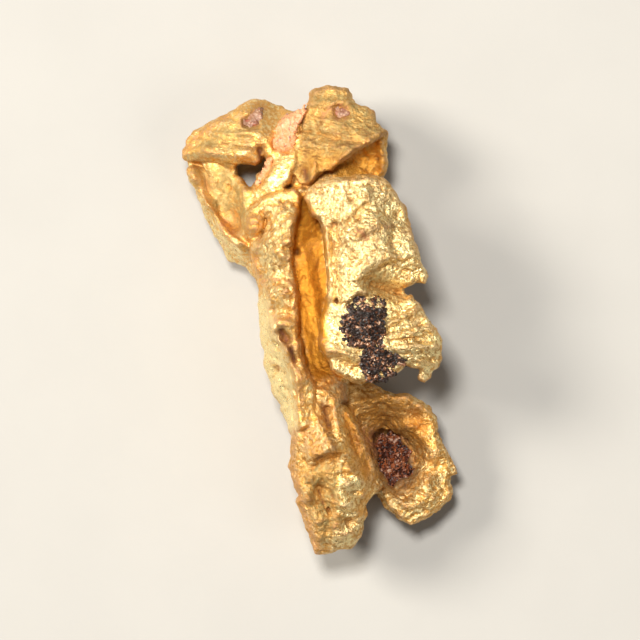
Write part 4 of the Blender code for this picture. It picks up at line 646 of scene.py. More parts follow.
# Streaks: an outline, the height that they start from, their length and width, their direction in degrees or
# the (x, y) that they spread from, and their depth.
STREAKED_AREAS = [
    ([(-5.6, 8.3), (-4.5, 9.2), (-2.7, 9.4), (-2.7, 7.9), (-4.2, 7.7),
      (-5.5, 7.9)], 2.8, 1.8, 0.3, -8.0, -0.035),
    ([(-5.7, 6.9), (-4.2, 6.8), (-3.7, 5.8), (-4.6, 4.9), (-5.4, 5.6)], 2.0, 1.4, 0.34, -55.0, 0.02),
    ([(-0.7, 8.9), (-0.4, 9.8), (1.4, 9.3), (2.7, 9.6), (3.1, 8.8), (1.0, 7.5),
      (-0.9, 7.4)], 4.0, 2.4, 0.32, -11.0, -0.025),
    ([(-1.0, 8.95), (-0.2, 8.9), (-0.2, 8.3), (-1.1, 8.3)], 4.0, 1.0, 0.16, 84.0, 0.05),
    ([(2.7, 3.1), (4.5, 3.2), (4.9, 2.0), (4.2, 1.6), (2.7, 2.2)], 6.6, 0.9, 0.15, (1.2, 0.6), 0.05),
    ([(3.1, 0.3), (4.4, 0.9), (5.5, -0.6), (5.5, -2.1), (4.2, -2.1),
      (3.4, -1.4)], 6.6, 1.8, 0.2, (1.4, -1.2), 0.09),
    ([(-0.4, 6.1), (3.0, 6.5), (3.7, 5.4), (1.0, 5.0)], 6.4, 1.2, 0.35, 76.0, -0.04),
    ([(0.3, 4.9), (3.9, 5.2), (4.5, 3.2), (2.0, 2.6), (0.4, 1.0)], 6.4, 0.7, 0.28, -50.0, -0.02),
    ([(-2.7, -0.2), (-1.9, -0.4), (-1.2, -3.8), (-2.2, -3.6)], 3.6, 1.3, 0.5, -12.0, 0.11),
    ([(-2.9, 5.4), (-1.3, 5.6), (-1.3, 0.9), (-2.5, 1.0)], 4.4, 1.0, 0.4, 70.0, -0.07),
    ([(-0.9, -0.4), (0.2, -0.2), (0.3, -1.6), (-0.6, -2.2)], 3.4, 2.6, 0.3, 92.0, 0.03),
    ([(3.2, -7.9), (5.8, -7.2), (5.9, -8.5), (4.3, -9.5)], 2.0, 1.0, 0.4, 30.0, 0.04),
]

# Where the gold's colour turns, layer by layer: how much of it, how soft its edge is, and an outline.
TINTED_AREAS = {
    # Pale is cleaner gold and also paints highlights where light falls: on the plate, the tongue, the wing's
    # lit ledge and outer wall, the spine's left wall, the foot's bright facets and the lobe's right side.
    "pale": [
        (1.15, 0.2, PLATE["outline"]), (0.9, 0.2, [(-2.5, 7.7), (-1.5, 7.5), (-1.4, 6.4), (-2.6, 6.0)]),
        (1.35, 0.3, SPINE_WALL),
        (0.15, 0.3, [(-0.9, -6.7), (0.9, -6.7), (1.8, -7.2), (2.0, -9.2), (1.2, -10.6), (0.0, -10.6)]),
        (1.3, 0.3, FOOT_END), (1.3, 0.3, FOOT_UPPER), (1.2, 0.3, FOOT_MIDDLE),
        (0.6, 0.3, [(-5.9, 5.4), (-5.2, 4.4), (-4.4, 2.9), (-3.0, 1.7), (-3.4, 3.2), (-4.8, 4.6)]),
        (0.6, 0.5, [(4.6, -5.6), (6.3, -7.2), (5.6, -8.8), (4.3, -9.5), (3.0, -8.2), (5.0, -7.6)]),
        (0.25, 0.4, WING_LOWER), (0.9, 0.3, WING_WALL),
        (0.9, 0.15, [(-5.8, 7.8), (-4.2, 7.6), (-3.7, 7.7), (-3.8, 7.3), (-5.8, 7.4)]),
        (0.75, 0.4, [(-2.9, 5.4), (-1.4, 5.7), (-1.2, 1.4), (-2.7, 1.2), (-3.1, 3.2)]),
        (0.25, 0.4, [(-6.3, 7.9), (-4.4, 9.4), (-2.9, 9.9), (-2.8, 8.9), (-3.9, 8.2), (-4.8, 7.8)]),
        (0.15, 0.3, BLOCK_FACE["outline"]),
    ],
    "olive": [
        (0.05, 0.2, PLATE["outline"]), (0.0, 0.3, SPINE_WALL), (1.0, 0.4, WING_LOWER),
        (0.0, 0.3, WING_WALL),
        (1.0, 0.5, [(-6.2, 8.1), (-4.4, 9.4), (-2.9, 9.9), (-2.8, 8.9), (-4.0, 7.9), (-5.6, 7.8)]),
        (1.0, 0.3, BLOCK_FACE["outline"]),
        (0.5, 0.4, [(-2.9, 5.6), (-0.9, 5.9), (-1.3, 3.6), (-1.2, 1.2), (-2.4, 1.2), (-2.8, 3.2)]),
        (0.7, 0.3, [(-2.0, 0.9), (-1.1, 0.9), (-0.9, -2.4), (-0.6, -3.6), (-1.2, -3.6), (-1.7, -1.4)]),
        (1.0, 0.3, [(-0.8, -6.7), (0.9, -6.7), (1.5, -8.6), (1.2, -10.2), (0.0, -10.4), (-0.6, -8.6)]),
        (0.0, 0.2, FOOT_END), (0.0, 0.2, FOOT_UPPER), (0.0, 0.2, FOOT_MIDDLE),
        (0.5, 0.2, [(0.4, -1.3), (1.9, -1.3), (2.0, -1.9), (0.5, -1.9)]),
        # The band below the plate's step is shade painted in olive.
        (0.7, 0.25, [(2.1, 1.3), (2.4, 2.4), (2.9, 2.4), (3.4, 1.6), (4.6, 1.4), (4.0, 1.0), (3.1, 1.1)]),
    ],
    # Amber here is painted shade and reflected light: the recess under the block's edge and the slope below
    # it, the channel, the lobe's upper side and the band beside it.
    "amber": [
        (0.0, 0.4, WING_LOWER),
        (0.55, 0.35, [(-0.8, 7.9), (1.1, 7.8), (0.8, 7.1), (-0.2, 6.7), (-0.8, 6.9)]),
        (0.85, 0.2, [(0.4, 7.0), (1.2, 7.5), (2.2, 8.15), (3.0, 8.5), (3.1, 7.4), (2.9, 6.75), (1.0, 6.6)]),
        (1.0, 0.15, [(-1.1, 5.9), (-0.7, 5.9), (-0.2, 4.9), (0.3, 3.6), (0.4, 0.9), (0.3, -1.6),
                     (0.5, -2.6), (-0.2, -2.9), (-0.7, -2.0), (-0.9, -0.6), (-1.0, 1.2), (-1.2, 2.6),
                     (-1.2, 4.2)]),
        (0.6, 0.5, [(1.8, -3.1), (4.8, -4.0), (5.4, -5.6), (4.6, -6.4), (3.0, -5.6), (1.6, -4.4)]),
        (0.8, 0.3, [(1.0, -4.0), (1.5, -4.0), (2.5, -7.4), (1.9, -7.4), (1.1, -5.2)]),
    ],
    # Here this is mostly painted shade: the plate's shadow on the lobe's upper side, the dark cavity round
    # the pocket, where it also stains, and the gap below the plate; in the channel it is kept low.
    "dirt": [
        (0.1, 0.12, [(-1.4, 5.9), (-0.4, 5.6), (0.3, 4.2), (0.4, 2.4), (0.5, 0.9), (0.4, -1.6), (0.5, -2.6),
                     (-0.2, -2.9), (-0.8, -2.0), (-1.1, -0.6), (-1.2, 1.2), (-1.5, 2.6)]),
        (0.75, 0.45, [(2.4, -5.0), (3.7, -4.9), (4.5, -6.0), (4.7, -7.3), (4.0, -8.1), (3.0, -8.1),
                      (2.4, -6.6)]),
        (0.97, 0.25, [(2.4, -5.1), (3.3, -4.9), (3.5, -5.7), (3.0, -6.3), (2.5, -6.1)]),
        (0.3, 0.5, [(1.2, -3.2), (4.2, -3.6), (4.8, -4.6), (3.6, -5.4), (2.0, -5.2)]),
        (0.75, 0.15, [(0.6, -2.5), (1.2, -2.9), (1.3, -3.9), (0.9, -4.0)]),
    ],
    "film": [
        (0.55, 0.3, [(-0.95, -4.9), (0.0, -4.9), (0.5, -6.1), (-0.3, -6.6), (-1.0, -6.0)]),
        (0.9, 0.3, [(1.85, -4.9), (2.7, -5.2), (2.8, -6.4), (2.3, -6.6), (1.9, -5.6)]),
    ],
}

# The same along lines: how much of it, its width and the line.
TINTED_LINES = {
    "film": [
        (0.6, 0.16, [(-6.1, 7.1), (-5.87, 6.55), (-5.6, 6.1), (-5.1, 5.3), (-4.8, 4.8), (-4.3, 4.2),
                     (-3.7, 3.6)]),
        (1.0, 0.22, [(-4.55, 4.55), (-4.25, 4.1)]),
        (0.8, 0.18, [(-3.66, 9.14), (-3.64, 9.42), (-3.29, 9.63), (-3.12, 9.82), (-2.72, 9.95)]),
        (0.8, 0.15, [(1.24, 9.93), (0.85, 10.1), (0.6, 9.98), (0.66, 9.58), (0.85, 9.42), (1.16, 9.44)]),
        (0.9, 0.12, [(0.1, 9.5), (0.2, 9.75), (0.45, 9.9)]),
        (0.8, 0.16, [(-6.3, 7.9), (-5.9, 8.5), (-5.2, 9.0), (-4.4, 9.55)]),
        (0.5, 0.18, SPINE_CREST[:-2]),
        (0.8, 0.3, [(-3.1, 4.5)]),
        (0.8, 0.25, [(-1.2, -5.2), (-1.35, -7.0), (-0.9, -8.5), (-0.5, -9.8), (-0.2, -10.8)]),
        (0.6, 0.2, [(0.0, -4.9), (0.63, -6.08), (0.0, -6.4)]),
        (0.5, 0.2, [(1.5, -5.0), (2.2, -6.6), (2.5, -7.8)]),
        (0.6, 0.15, [(-0.6, 10.2), (-0.3, 10.8), (0.5, 10.9), (1.3, 10.8)]),
        (0.6, 0.16, [(3.1, 8.8), (2.3, 8.35), (1.6, 7.95), (0.9, 7.4)]),
        (0.6, 0.14, [(-0.6, 5.6), (0.0, 6.3), (1.4, 6.55), (3.0, 6.5)]),
        (0.7, 0.2, [(0.1, -0.8), (0.4, -1.4), (0.9, -1.6)]), (1.0, 0.22, [(1.75, 4.05), (2.1, 3.9)]),
        (0.6, 0.2, [(2.4, 4.25), (3.2, 4.35)]),
        (0.6, 0.14, PLATE["outline"][7:14]),
        (0.9, 0.08, [(-3.09, 4.0), (-2.83, 3.74), (-3.03, 2.85), (-2.7, 1.79)]),
        (0.9, 0.08, [(-2.7, 1.79), (-2.32, 1.92), (-1.66, 1.87), (-1.27, 1.79), (-1.08, 1.27)]),
        (0.9, 0.08, [(-2.32, 0.5), (-2.05, -0.03), (-1.4, 0.1), (-1.15, 0.5)]),
        (0.9, 0.08, [(-1.86, -0.94), (-1.53, -1.07), (-1.21, -0.8)]),
        (0.8, 0.08, [(-1.47, -1.2), (-1.21, -1.97), (-0.88, -2.76), (-0.82, -3.8)]),
        (0.8, 0.1, SPINE_RING),
    ],
    "olive": [
        (0.9, 0.16, [(2.08, 5.4), (1.6, 4.95), (1.1, 4.5)]),
    ],
    # Darker in these pits, small holes and creases.
    "dirt": [
        (0.5, 0.12, [(1.8, 4.1), (2.1, 3.95)]), (0.9, 0.14, [(-0.7, 7.0), (-0.62, 6.6)]),
        (0.95, 0.12, [(-2.82, 7.95), (-2.85, 7.6)]), (0.9, 0.1, [(-1.1, 3.2)]),
        (1.0, 0.2, [(-1.82, -0.5), (-1.6, -0.95)]), (0.95, 0.11, [(-1.35, -1.3), (-1.22, -1.9)]),
        (0.8, 0.12, [(0.73, 4.49)]), (0.7, 0.1, [(1.47, 5.57)]), (0.8, 0.1, [(0.77, 0.89)]),
        (0.6, 0.08, [(-0.15, 5.9), (0.2, 5.8)]), (0.8, 0.1, [(0.12, -3.95), (0.4, -4.9)]),
        (0.7, 0.09, [(0.58, -8.19)]), (0.7, 0.09, [(0.4, -8.85)]),
        (0.8, 0.05, [(-0.07, -7.96), (0.16, -8.6)]), (0.6, 0.06, [(0.1, -6.35), (-0.15, -6.5)]),
    ],
}

STONES = [QUARTZ_WEDGE, QUARTZ_HOLE_EDGE, QUARTZ_TOP_LEFT, QUARTZ_TOP_RIGHT, POCKET_QUARTZ, IRONSTONE]

# The stones' bodies.
STONE_RIM = 0.25
STONE_STEP = 0.04
STONE_TEAR = 0.12
FINE_SHARE = 0.6  # size and height of a stone's fine bumps, as a share of its facets'
FINE_OCTAVES = 3
DEEP_BLEND = 0.3

# The quartz pieces: the node that each stands for, its form, finish and slot, and how rugged it is.
QUARTZ = [
    ("quartz_wedge", QUARTZ_WEDGE, "salmon", "pink_quartz", 0.09),
    ("quartz_hole_edge", QUARTZ_HOLE_EDGE, "salmon", "pink_quartz", 0.09),
    ("quartz_top_left", QUARTZ_TOP_LEFT, "mauve", "mauve_quartz", 0.06),
    ("quartz_top_right", QUARTZ_TOP_RIGHT, "mauve", "mauve_quartz", 0.04),
]
QUARTZ_DEPTH = 0.7
QUARTZ_FACET = 0.3
QUARTZ_SEED = 20.0

# The bodies under the packed grains: depth, ruggedness, size of the facets and seed, then the grains' seed.
IRONSTONE_BODY = (1.0, 0.16, 0.45, 31.0)
IRONSTONE_GRAINS = 7
POCKET_BODY = (0.7, 0.2, 0.5, 43.0)
POCKET_GRAINS = 19

# The grains' shades: where each starts among the grains, from 0 to 1, and its colour.
# The two palest ironstone shades are pale grains that also stand in for glints, a painted sparkle.
IRONSTONE_SHADES = [
    (0.0, (0.008, 0.004, 0.003)), (0.5, (0.020, 0.008, 0.005)), (0.7, (0.06, 0.020, 0.009)),
    (0.87, (0.17, 0.055, 0.016)), (0.96, (0.32, 0.13, 0.05)), (1.0, (0.55, 0.36, 0.24)),
]
POCKET_SHADES = [
    (0.0, (0.02, 0.004, 0.002)), (0.35, (0.09, 0.018, 0.006)), (0.66, (0.24, 0.06, 0.014)),
    (0.9, (0.25, 0.09, 0.04)), (1.0, (0.44, 0.28, 0.20)),
]

# What the grains' tree asks for: the name, the kind and what it starts from.
GRAIN_INPUTS = [
    ("Spacing", "NodeSocketFloat", 0.1),
    ("Density", "NodeSocketFloat", 400.0),
    ("Smallest", "NodeSocketFloat", 0.05),
    ("Largest", "NodeSocketFloat", 0.15),
    ("Seed", "NodeSocketInt", 0),
    ("Material", "NodeSocketMaterial", None),
]
GRAIN_DENSITY = 1200.0  # grains on a square millimetre, before their spacing thins them
GRAIN_SLOPE = 0.15  # grains grow on what faces up more than this
GRAIN_STRETCH = (0.5, 1.6)
FULL_TURN = 6.283


# ---------------------------------------------------------------- shapes from outlines and heights


def distance_to_line(points, line, closed=False):
    """Distance from each (x, y) to a broken line, or to a single point."""
    line = np.array(line, float)
    starts, ends = line, np.roll(line, -1, axis=0)
    if not closed and len(line) > 1:
        starts, ends = starts[:-1], ends[:-1]
    nearest = np.full(len(points), np.inf)
    for start, end in zip(starts, ends):
        run = end - start
        share = (points - start) @ run / max(run @ run, TINY)
        foot = start + np.clip(share, 0.0, 1.0)[:, None] * run
        nearest = np.minimum(nearest, np.hypot(*(points - foot).T))
    return nearest


def inside(points, outline):
    """True for each (x, y) that an outline holds."""
    x, y = points[:, 0], points[:, 1]
    odd = np.zeros(len(points), bool)
    for (x0, y0), (x1, y1) in zip(outline, outline[1:] + outline[:1]):
        if y0 == y1:
            continue
        spans = (y0 > y) != (y1 > y)
        odd ^= spans & (x < (x1 - x0) * (y - y0) / (y1 - y0) + x0)
    return odd


def covered(points, outlines):
    """True for each (x, y) inside the first outline and outside the others."""
    held = inside(points, outlines[0])
    for hole in outlines[1:]:
        held &= ~inside(points, hole)
    return held


def soft_step(value, low, high):
    """0 below low, 1 above high, and smooth between."""
    share = np.clip((value - low) / (high - low), 0.0, 1.0)
    return share * share * (3.0 - 2.0 * share)


def area_mask(points, outline, softness):
    """1 well inside an outline, 0 well outside it, and smooth across its edge."""
    away = distance_to_line(points, outline, closed=True)
    signed = np.where(inside(points, outline), away, -away)
    return soft_step(signed, -softness, softness)


def raised_mask(points, outline, softness, low):
    """1 for each (x, y, z) inside an outline and above a height, 0 elsewhere, and smooth between."""
    above = soft_step(points[:, 2], low - HEIGHT_BLEND, low + HEIGHT_BLEND)
    return area_mask(points[:, :2], outline, softness) * above


def surface(points, heights):
    """Smooth heights at each (x, y) that pass through the given (x, y, z)."""
    heights = np.array(heights, float)
    places, levels = heights[:, :2], heights[:, 2]

    def spread(a, b):
        return np.sqrt(((a[:, None] - b[None]) ** 2).sum(-1) + SOFTNESS ** 2)

    size = len(places)
    system = np.ones((size + 1, size + 1))
    system[:size, :size] = spread(places, places)
    system[size, size] = 0.0
    weights = np.linalg.solve(system, np.append(levels, 0.0))
    return spread(points, places) @ weights[:size] + weights[size]


def relief(points, features):
    """The sum of the ridges, grooves and pits at each (x, y)."""
    total = np.zeros(len(points))
    for height, width, line in features:
        total += height * np.exp(-((distance_to_line(points, line) / width) ** 2))
    return total


def ledges(points, steps):
    """The sum of the sharp steps at each (x, y). Each lifts what lies left of its line, near the line."""
    total = np.zeros(len(points))
    for height, width, line in steps:
        nearest = np.full(len(points), np.inf)
        side = np.zeros(len(points))
        for start, end in zip(np.array(line[:-1]), np.array(line[1:])):
            run = end - start
            away = points - start
            share = np.clip(away @ run / (run @ run), 0.0, 1.0)
            reach = np.hypot(*(away - share[:, None] * run).T)
            left = (run[0] * away[:, 1] - run[1] * away[:, 0]) / np.hypot(*run)
            side = np.where(reach < nearest, left, side)
            nearest = np.minimum(nearest, reach)
        total += height * soft_step(side, -LEDGE_RUN, LEDGE_RUN) * np.exp(-((nearest / width) ** 2))
    return total


def noise_places(points, size, seed, shift):
    """Where in Blender's noise each point reads a pattern of a size, one after another."""
    start = Vector([seed * part for part in shift])
    return (Vector(point) + start for point in points / size)


def creased(points, size, octaves, seed):
    """Noise with sharp crests, from about -1 to 0.5, at each point."""
    places = noise_places(points, size, seed, CREASE_SHIFT)
    values = np.array([noise.fractal(place, ROUGHENING, DOUBLING, octaves) for place in places])
    return 0.5 - np.abs(values) * 2.0


def rolling(points, size, octaves, seed):
    """Smooth noise, from about -1 to 1, at each point."""
    places = noise_places(points, size, seed, ROLL_SHIFT)
    return np.array([noise.fractal(place, ROUGHENING, DOUBLING, octaves) for place in places])


def pits(points, size, seed):
    """Round pits scattered at random: 1 in the middle of a pit and 0 away from all of them."""
    nearest = np.array([noise.voronoi(place)[0][0] for place in noise_places(points, size, seed, PIT_SHIFT)])
    return 1.0 - soft_step(nearest, *PIT_SIDE)


def scales(points, size, seed):
    """Overlapping crystal faces: each cell is a tilted plane. From about -0.5 to 0.5 at each point."""
    heights = np.empty(len(points))
    for i, place in enumerate(noise_places(points, size, seed, SCALE_SHIFT)):
        middle = noise.voronoi(place)[1][0]
        heights[i] = (place - middle).dot(noise.cell_vector(middle * SCALE_TILTS)) * SCALE_STEEPNESS
    return heights


def broken_up(outline, step):
    """Points a step apart along an outline, each with the way out from there."""
    for start, end in zip(outline, outline[1:] + outline[:1]):
        start, end = np.array(start), np.array(end)
        length = np.hypot(*(end - start))
        side = np.array([end[1] - start[1], start[0] - end[0]]) / max(length, TINY)
        parts = max(1, round(length / step))
        for i in range(parts):
            yield start + (end - start) * i / parts, side


def ragged(outline, amount, seed):
    """An outline broken up finely, with its edge torn in and out by a small amount."""
    torn = []
    for place, side in broken_up(outline, TEAR_STEP):
        torn.append(tuple(place + side * amount * noise.noise(Vector((*(place / TEAR_SIZE), seed)))))
    return torn


def fill_outline(outlines, step):
    """Points and triangles over the first outline, with the other outlines as holes in it."""
    low, high = np.min(outlines[0], axis=0), np.max(outlines[0], axis=0)
    columns = np.arange(low[0] + step / 2, high[0], step)
    rows = np.arange(low[1] + step / 2, high[1], step)
    inner = np.stack(np.meshgrid(columns, rows), axis=-1).reshape(-1, 2)
    points, edges = [], []
    for outline in outlines:
        edge = [place for place, _ in broken_up(outline, step)]
        first = len(points)
        edges += [(first + i, first + (i + 1) % len(edge)) for i in range(len(edge))]
        points += edge
        inner = inner[distance_to_line(inner, outline, closed=True) > step * CLEAR_OF_EDGE]
    points = [Vector(p) for p in points] + [Vector(p) for p in inner[covered(inner, outlines)]]
    filled = delaunay_2d_cdt(points, edges, [], 0, MERGED)
    places = np.array([tuple(p) for p in filled[0]])
    faces = np.array([tuple(face) for face in filled[2]])
    return places, [tuple(face) for face in faces[covered(places[faces].mean(axis=1), outlines)].tolist()]


def sheet_mesh(name, outlines, top, under, rim, step):
    """A closed body over an outline and round its holes, between two height functions, with a round rim."""
    places, triangles = fill_outline(outlines, step)
    upper, lower = top(places), under(places)
    middle = (upper + lower) / 2
    to_edge = np.min([distance_to_line(places, outline, closed=True) for outline in outlines], axis=0)
    inset = np.clip(to_edge / rim, 0.0, 1.0)
    swell = EDGE + (1.0 - EDGE) * np.sqrt(1.0 - (1.0 - inset) ** 2)
    upper = middle + np.maximum(upper - lower, LEAST_THICKNESS) / 2 * swell
    lower = 2 * middle - upper
    count = len(places)
    vertices = np.concatenate([np.column_stack([places, upper]), np.column_stack([places, lower])])
    faces = triangles + [tuple(i + count for i in reversed(f)) for f in triangles]
    sides = {(a, b) for face in triangles for a, b in zip(face, face[1:] + face[:1])}
    faces += [(b, a, a + count, b + count) for a, b in sorted(sides) if (b, a) not in sides]
    mesh = bpy.data.meshes.new(name)
    mesh.from_pydata(vertices.tolist(), [], faces)
    mesh.update()
    return mesh


def gold_sheet(sheet, seed):
    """One of the sheets that the gold is made of, with seats for the stones that lie in its upper side."""

    def top(places):
        heights = surface(places, sheet["top"])
        heights = heights + relief(places, sheet.get("relief", []) + sheet.get("detail", []))
        heights += ledges(places, sheet.get("ledges", []))
        for stone in STONES:
            seat = surface(places, stone["top"]) - SEAT_DEPTH
            heights += np.minimum(seat - heights, 0.0) * area_mask(places, stone["outline"], SEAT_EDGE)
        return heights

    def under(places):
        return surface(places, sheet["under"])

    outlines = [ragged(outline, TEAR, seed) for outline in [sheet["outline"], *sheet.get("holes", [])]]
    return sheet_mesh("sheet", outlines, top, under, sheet["rim"], SHEET_STEP)


def keel_sheet(keel):
    """A fold that stands on edge along a broken line."""
    line = np.array(keel, float)
    runs = np.gradient(line[:, :2], axis=0)
    runs /= np.linalg.norm(runs, axis=1)[:, None]
    sides = np.stack([-runs[:, 1], runs[:, 0]], axis=1) * line[:, 2:3]
    left, right = line[:, :2] + sides, line[:, :2] - sides
    outline = [tuple(p) for p in left] + [tuple(p) for p in right[::-1]]
    edge = [(x, y, z) for x, y, _, z in keel]

    def top(places):
        return np.full(len(places), KEEL_TOP)

    def under(places):
        return surface(places, edge)

    return sheet_mesh("keel", [outline], top, under, KEEL_RIM, SHEET_STEP)


# ---------------------------------------------------------------- working on meshes


def new_object(name, data):
    """An object in the scene that holds a mesh, a light or a camera."""
    obj = bpy.data.objects.new(name, data)
    bpy.context.scene.collection.objects.link(obj)
    return obj


def bake_modifiers(obj):
    """Turn what an object's modifiers make into its own mesh."""
    graph = bpy.context.evaluated_depsgraph_get()
    graph.update()
    made = bpy.data.meshes.new_from_object(obj.evaluated_get(graph))
    old = obj.data
    obj.modifiers.clear()
    obj.data = made
    bpy.data.meshes.remove(old)


def joined_mesh(name, meshes):
    """One mesh of several, which are then removed."""
    grid = bmesh.new()
    for mesh in meshes:
        grid.from_mesh(mesh)
    joined = bpy.data.meshes.new(name)
    grid.to_mesh(joined)
    grid.free()
    for mesh in meshes:
        bpy.data.meshes.remove(mesh)
    return joined


def read_edges(mesh):
    """The points at the two ends of a mesh's edges, as two arrays."""
    edges = np.empty(len(mesh.edges) * 2, int)
    mesh.edges.foreach_get("vertices", edges)
    return edges.reshape(-1, 2).T


def read_vectors(items, name):
    """A vector of each of a mesh's items, as an array."""
    vectors = np.empty(len(items) * 3)
    items.foreach_get(name, vectors)
    return vectors.reshape(-1, 3)


def read_skin(mesh):
    """A mesh's points and their normals, as two arrays."""
    return read_vectors(mesh.vertices, "co"), read_vectors(mesh.vertex_normals, "vector")


def write_points(mesh, points):
    """Move a mesh's points."""
    mesh.vertices.foreach_set("co", points.ravel())
    mesh.update()


def set_attribute(mesh, name, values):
    """Keep one number for each point under a name."""
    layer = mesh.attributes.new(name, "FLOAT", "POINT")
    layer.data.foreach_set("value", np.asarray(values, np.float32))


def keep_largest_body(mesh):
    """Delete every loose crumb, so that one connected body is left."""
    a, b = read_edges(mesh)
    label = np.arange(len(mesh.vertices))
    while True:
        lowest = label.copy()
        np.minimum.at(lowest, a, label[b])
        np.minimum.at(lowest, b, label[a])
        lowest = lowest[lowest]
        if (lowest == label).all():
            break
        label = lowest
    names, counts = np.unique(label, return_counts=True)
    crumbs = np.flatnonzero(label != names[counts.argmax()])
    if len(crumbs):
        grid = bmesh.new()
        grid.from_mesh(mesh)
        grid.verts.ensure_lookup_table()
        bmesh.ops.delete(grid, geom=[grid.verts[i] for i in crumbs], context="VERTS")
        grid.to_mesh(mesh)
        grid.free()


def eased(mesh, rounds):
    """A mesh's points, each moved half way to the middle of its neighbours, again and again."""
    a, b = read_edges(mesh)
    points = read_vectors(mesh.vertices, "co")
    count = np.bincount(a, minlength=len(points)) + np.bincount(b, minlength=len(points))
    for _ in range(rounds):
        total = np.zeros_like(points)
        for axis in range(3):
            total[:, axis] = np.bincount(a, points[b, axis], len(points))
            total[:, axis] += np.bincount(b, points[a, axis], len(points))
        points = points * 0.5 + total / np.maximum(count, 1)[:, None] * 0.5
    return points


def seen_from_above(points, normals, tree):
    """1 for each point that nothing hides from straight above, else 0."""
    up = Vector((0.0, 0.0, 1.0))
    seen = np.zeros(len(points))
    for i in np.flatnonzero(normals[:, 2] > FACING_UP):
        start = Vector(points[i] + normals[i] * RAY_GAP) + up * RAY_GAP
        if tree.ray_cast(start, up)[0] is None:
            seen[i] = 1.0
    return seen


def openness(points, normals, tree):
    """The share of the sky over each point that nothing near it hides."""
    golden = math.pi * (3.0 - math.sqrt(5.0))
    steps = np.arange(SKY_RAYS)
    heights = 1.0 - (steps + 0.5) / SKY_RAYS
    rings = np.sqrt(1.0 - heights ** 2)
    sides = np.cross(normals, SKY_SIDE)
    sides /= np.linalg.norm(sides, axis=1)[:, None]
    others = np.cross(normals, sides)
    starts = [Vector(start) for start in points + normals * SKY_GAP]
    free = np.zeros(len(points))
    for step, height, ring in zip(steps, heights, rings):
        turn = step * golden
        ways = sides * (ring * math.cos(turn)) + others * (ring * math.sin(turn)) + normals * height
        clear = [tree.ray_cast(start, Vector(way), SKY_REACH)[0] is None for start, way in zip(starts, ways)]
        free += np.array(clear, float)
    return free / SKY_RAYS


def finish_piece(obj, material, slot, *nodes):
    """Press a piece into the CAD's box, turn it into metres, say what it rides on and hide the CAD parts that
    it stands for.
    """
    mesh = obj.data
    low, high = (np.array(corner) / MM for corner in CAD_BOX)
    write_points(mesh, np.clip(read_vectors(mesh.vertices, "co"), low, high))
    mesh.transform(Matrix.Scale(MM, 4))
    mesh.shade_smooth()
    mesh.materials.clear()
    mesh.materials.append(material)
    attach(obj, BODY)
    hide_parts(*nodes)


# ---------------------------------------------------------------- the gold


def streaks(points, direction, length, width, seed):
    """Creases longer than they are wide: at an angle in degrees, or spreading from an (x, y) like a fan."""
    if isinstance(direction, tuple):
        away = points[:, :2] - np.array(direction)
        along, across = np.hypot(*away.T), np.arctan2(away[:, 1], away[:, 0]) * FAN_REACH
    else:
        turn = math.radians(direction)
        along = points[:, 0] * math.cos(turn) + points[:, 1] * math.sin(turn)
        across = points[:, 1] * math.cos(turn) - points[:, 0] * math.sin(turn)
    stretched = np.column_stack([along / length, across / width, points[:, 2] / length])
    return creased(stretched, 1.0, STREAK_OCTAVES, seed)


def roughen_gold(mesh, settings):
    """Lumps, folds, crystal faces, grain and streaks on the gold."""
    points, normals = read_skin(mesh)
    roughness = np.full(len(points), PLAIN_ROUGHNESS)
    crumple = np.full(len(points), PLAIN_CRUMPLE)
    for outline, low, amount, folded in ROUGH_AREAS:
        mask = raised_mask(points, outline, ROUGH_BLEND, low)
        roughness += (amount - roughness) * mask
        crumple += (folded - crumple) * mask
    steep = soft_step(1.0 - np.abs(normals[:, 2]), *STEEP)
    low_wall = steep * (1.0 - soft_step(points[:, 2], *WALL_HEIGHTS))
    low_wall = low_wall * (1.0 - area_mask(points[:, :2], HEART, CLEAR_OF_HEART))
    layered = points * np.array(LAYERING)
    grain = settings.grain_size / MM
    push = creased(points, *LUMPS) * LUMP_HEIGHT
    push += creased(layered, *WALL_LEDGES) * settings.fold_depth / MM * steep
    push += rolling(layered, *WALL_FOLDS) * settings.wall_depth / MM * low_wall
    push += scales(points, *CRYSTAL_FACES) * settings.face_depth / MM * roughness
    push += creased(points, *CRUMPLES) * settings.crumple_depth / MM * crumple
    push -= pits(points, *SKIN_PITS) * settings.pit_depth / MM * (LEAST_PITS + crumple)
    creases = creased(points, grain * CREASE_SIZE, *GRAIN_CREASES)
    push -= creases * settings.grain_depth / MM * CREASE_HEIGHT * roughness
    push += rolling(points, grain, *GRAIN_ROLLS) * settings.grain_depth / MM * roughness
    set_attribute(mesh, "grain", roughness)
    line = np.zeros(len(points))
    for outline, low, length, width, direction, depth in STREAKED_AREAS:
        mask = raised_mask(points, outline, STREAK_BLEND, low) * soft_step(normals[:, 2], *STREAK_SLOPE)
        chosen = np.flatnonzero(mask > LEAST_MASK)
        crests = streaks(points[chosen], direction, length, width, width * STREAK_SEEDS)
        push[chosen] += crests * depth * mask[chosen]
        if depth < 0.0:
            line[chosen] = np.maximum(line[chosen], soft_step(crests, *LINE_CRESTS) * mask[chosen])
    set_attribute(mesh, "line", line)
    points = points + normals * push[:, None]
    points[:, 2] = np.maximum(points[:, 2], REST_PLANE)
    write_points(mesh, points)


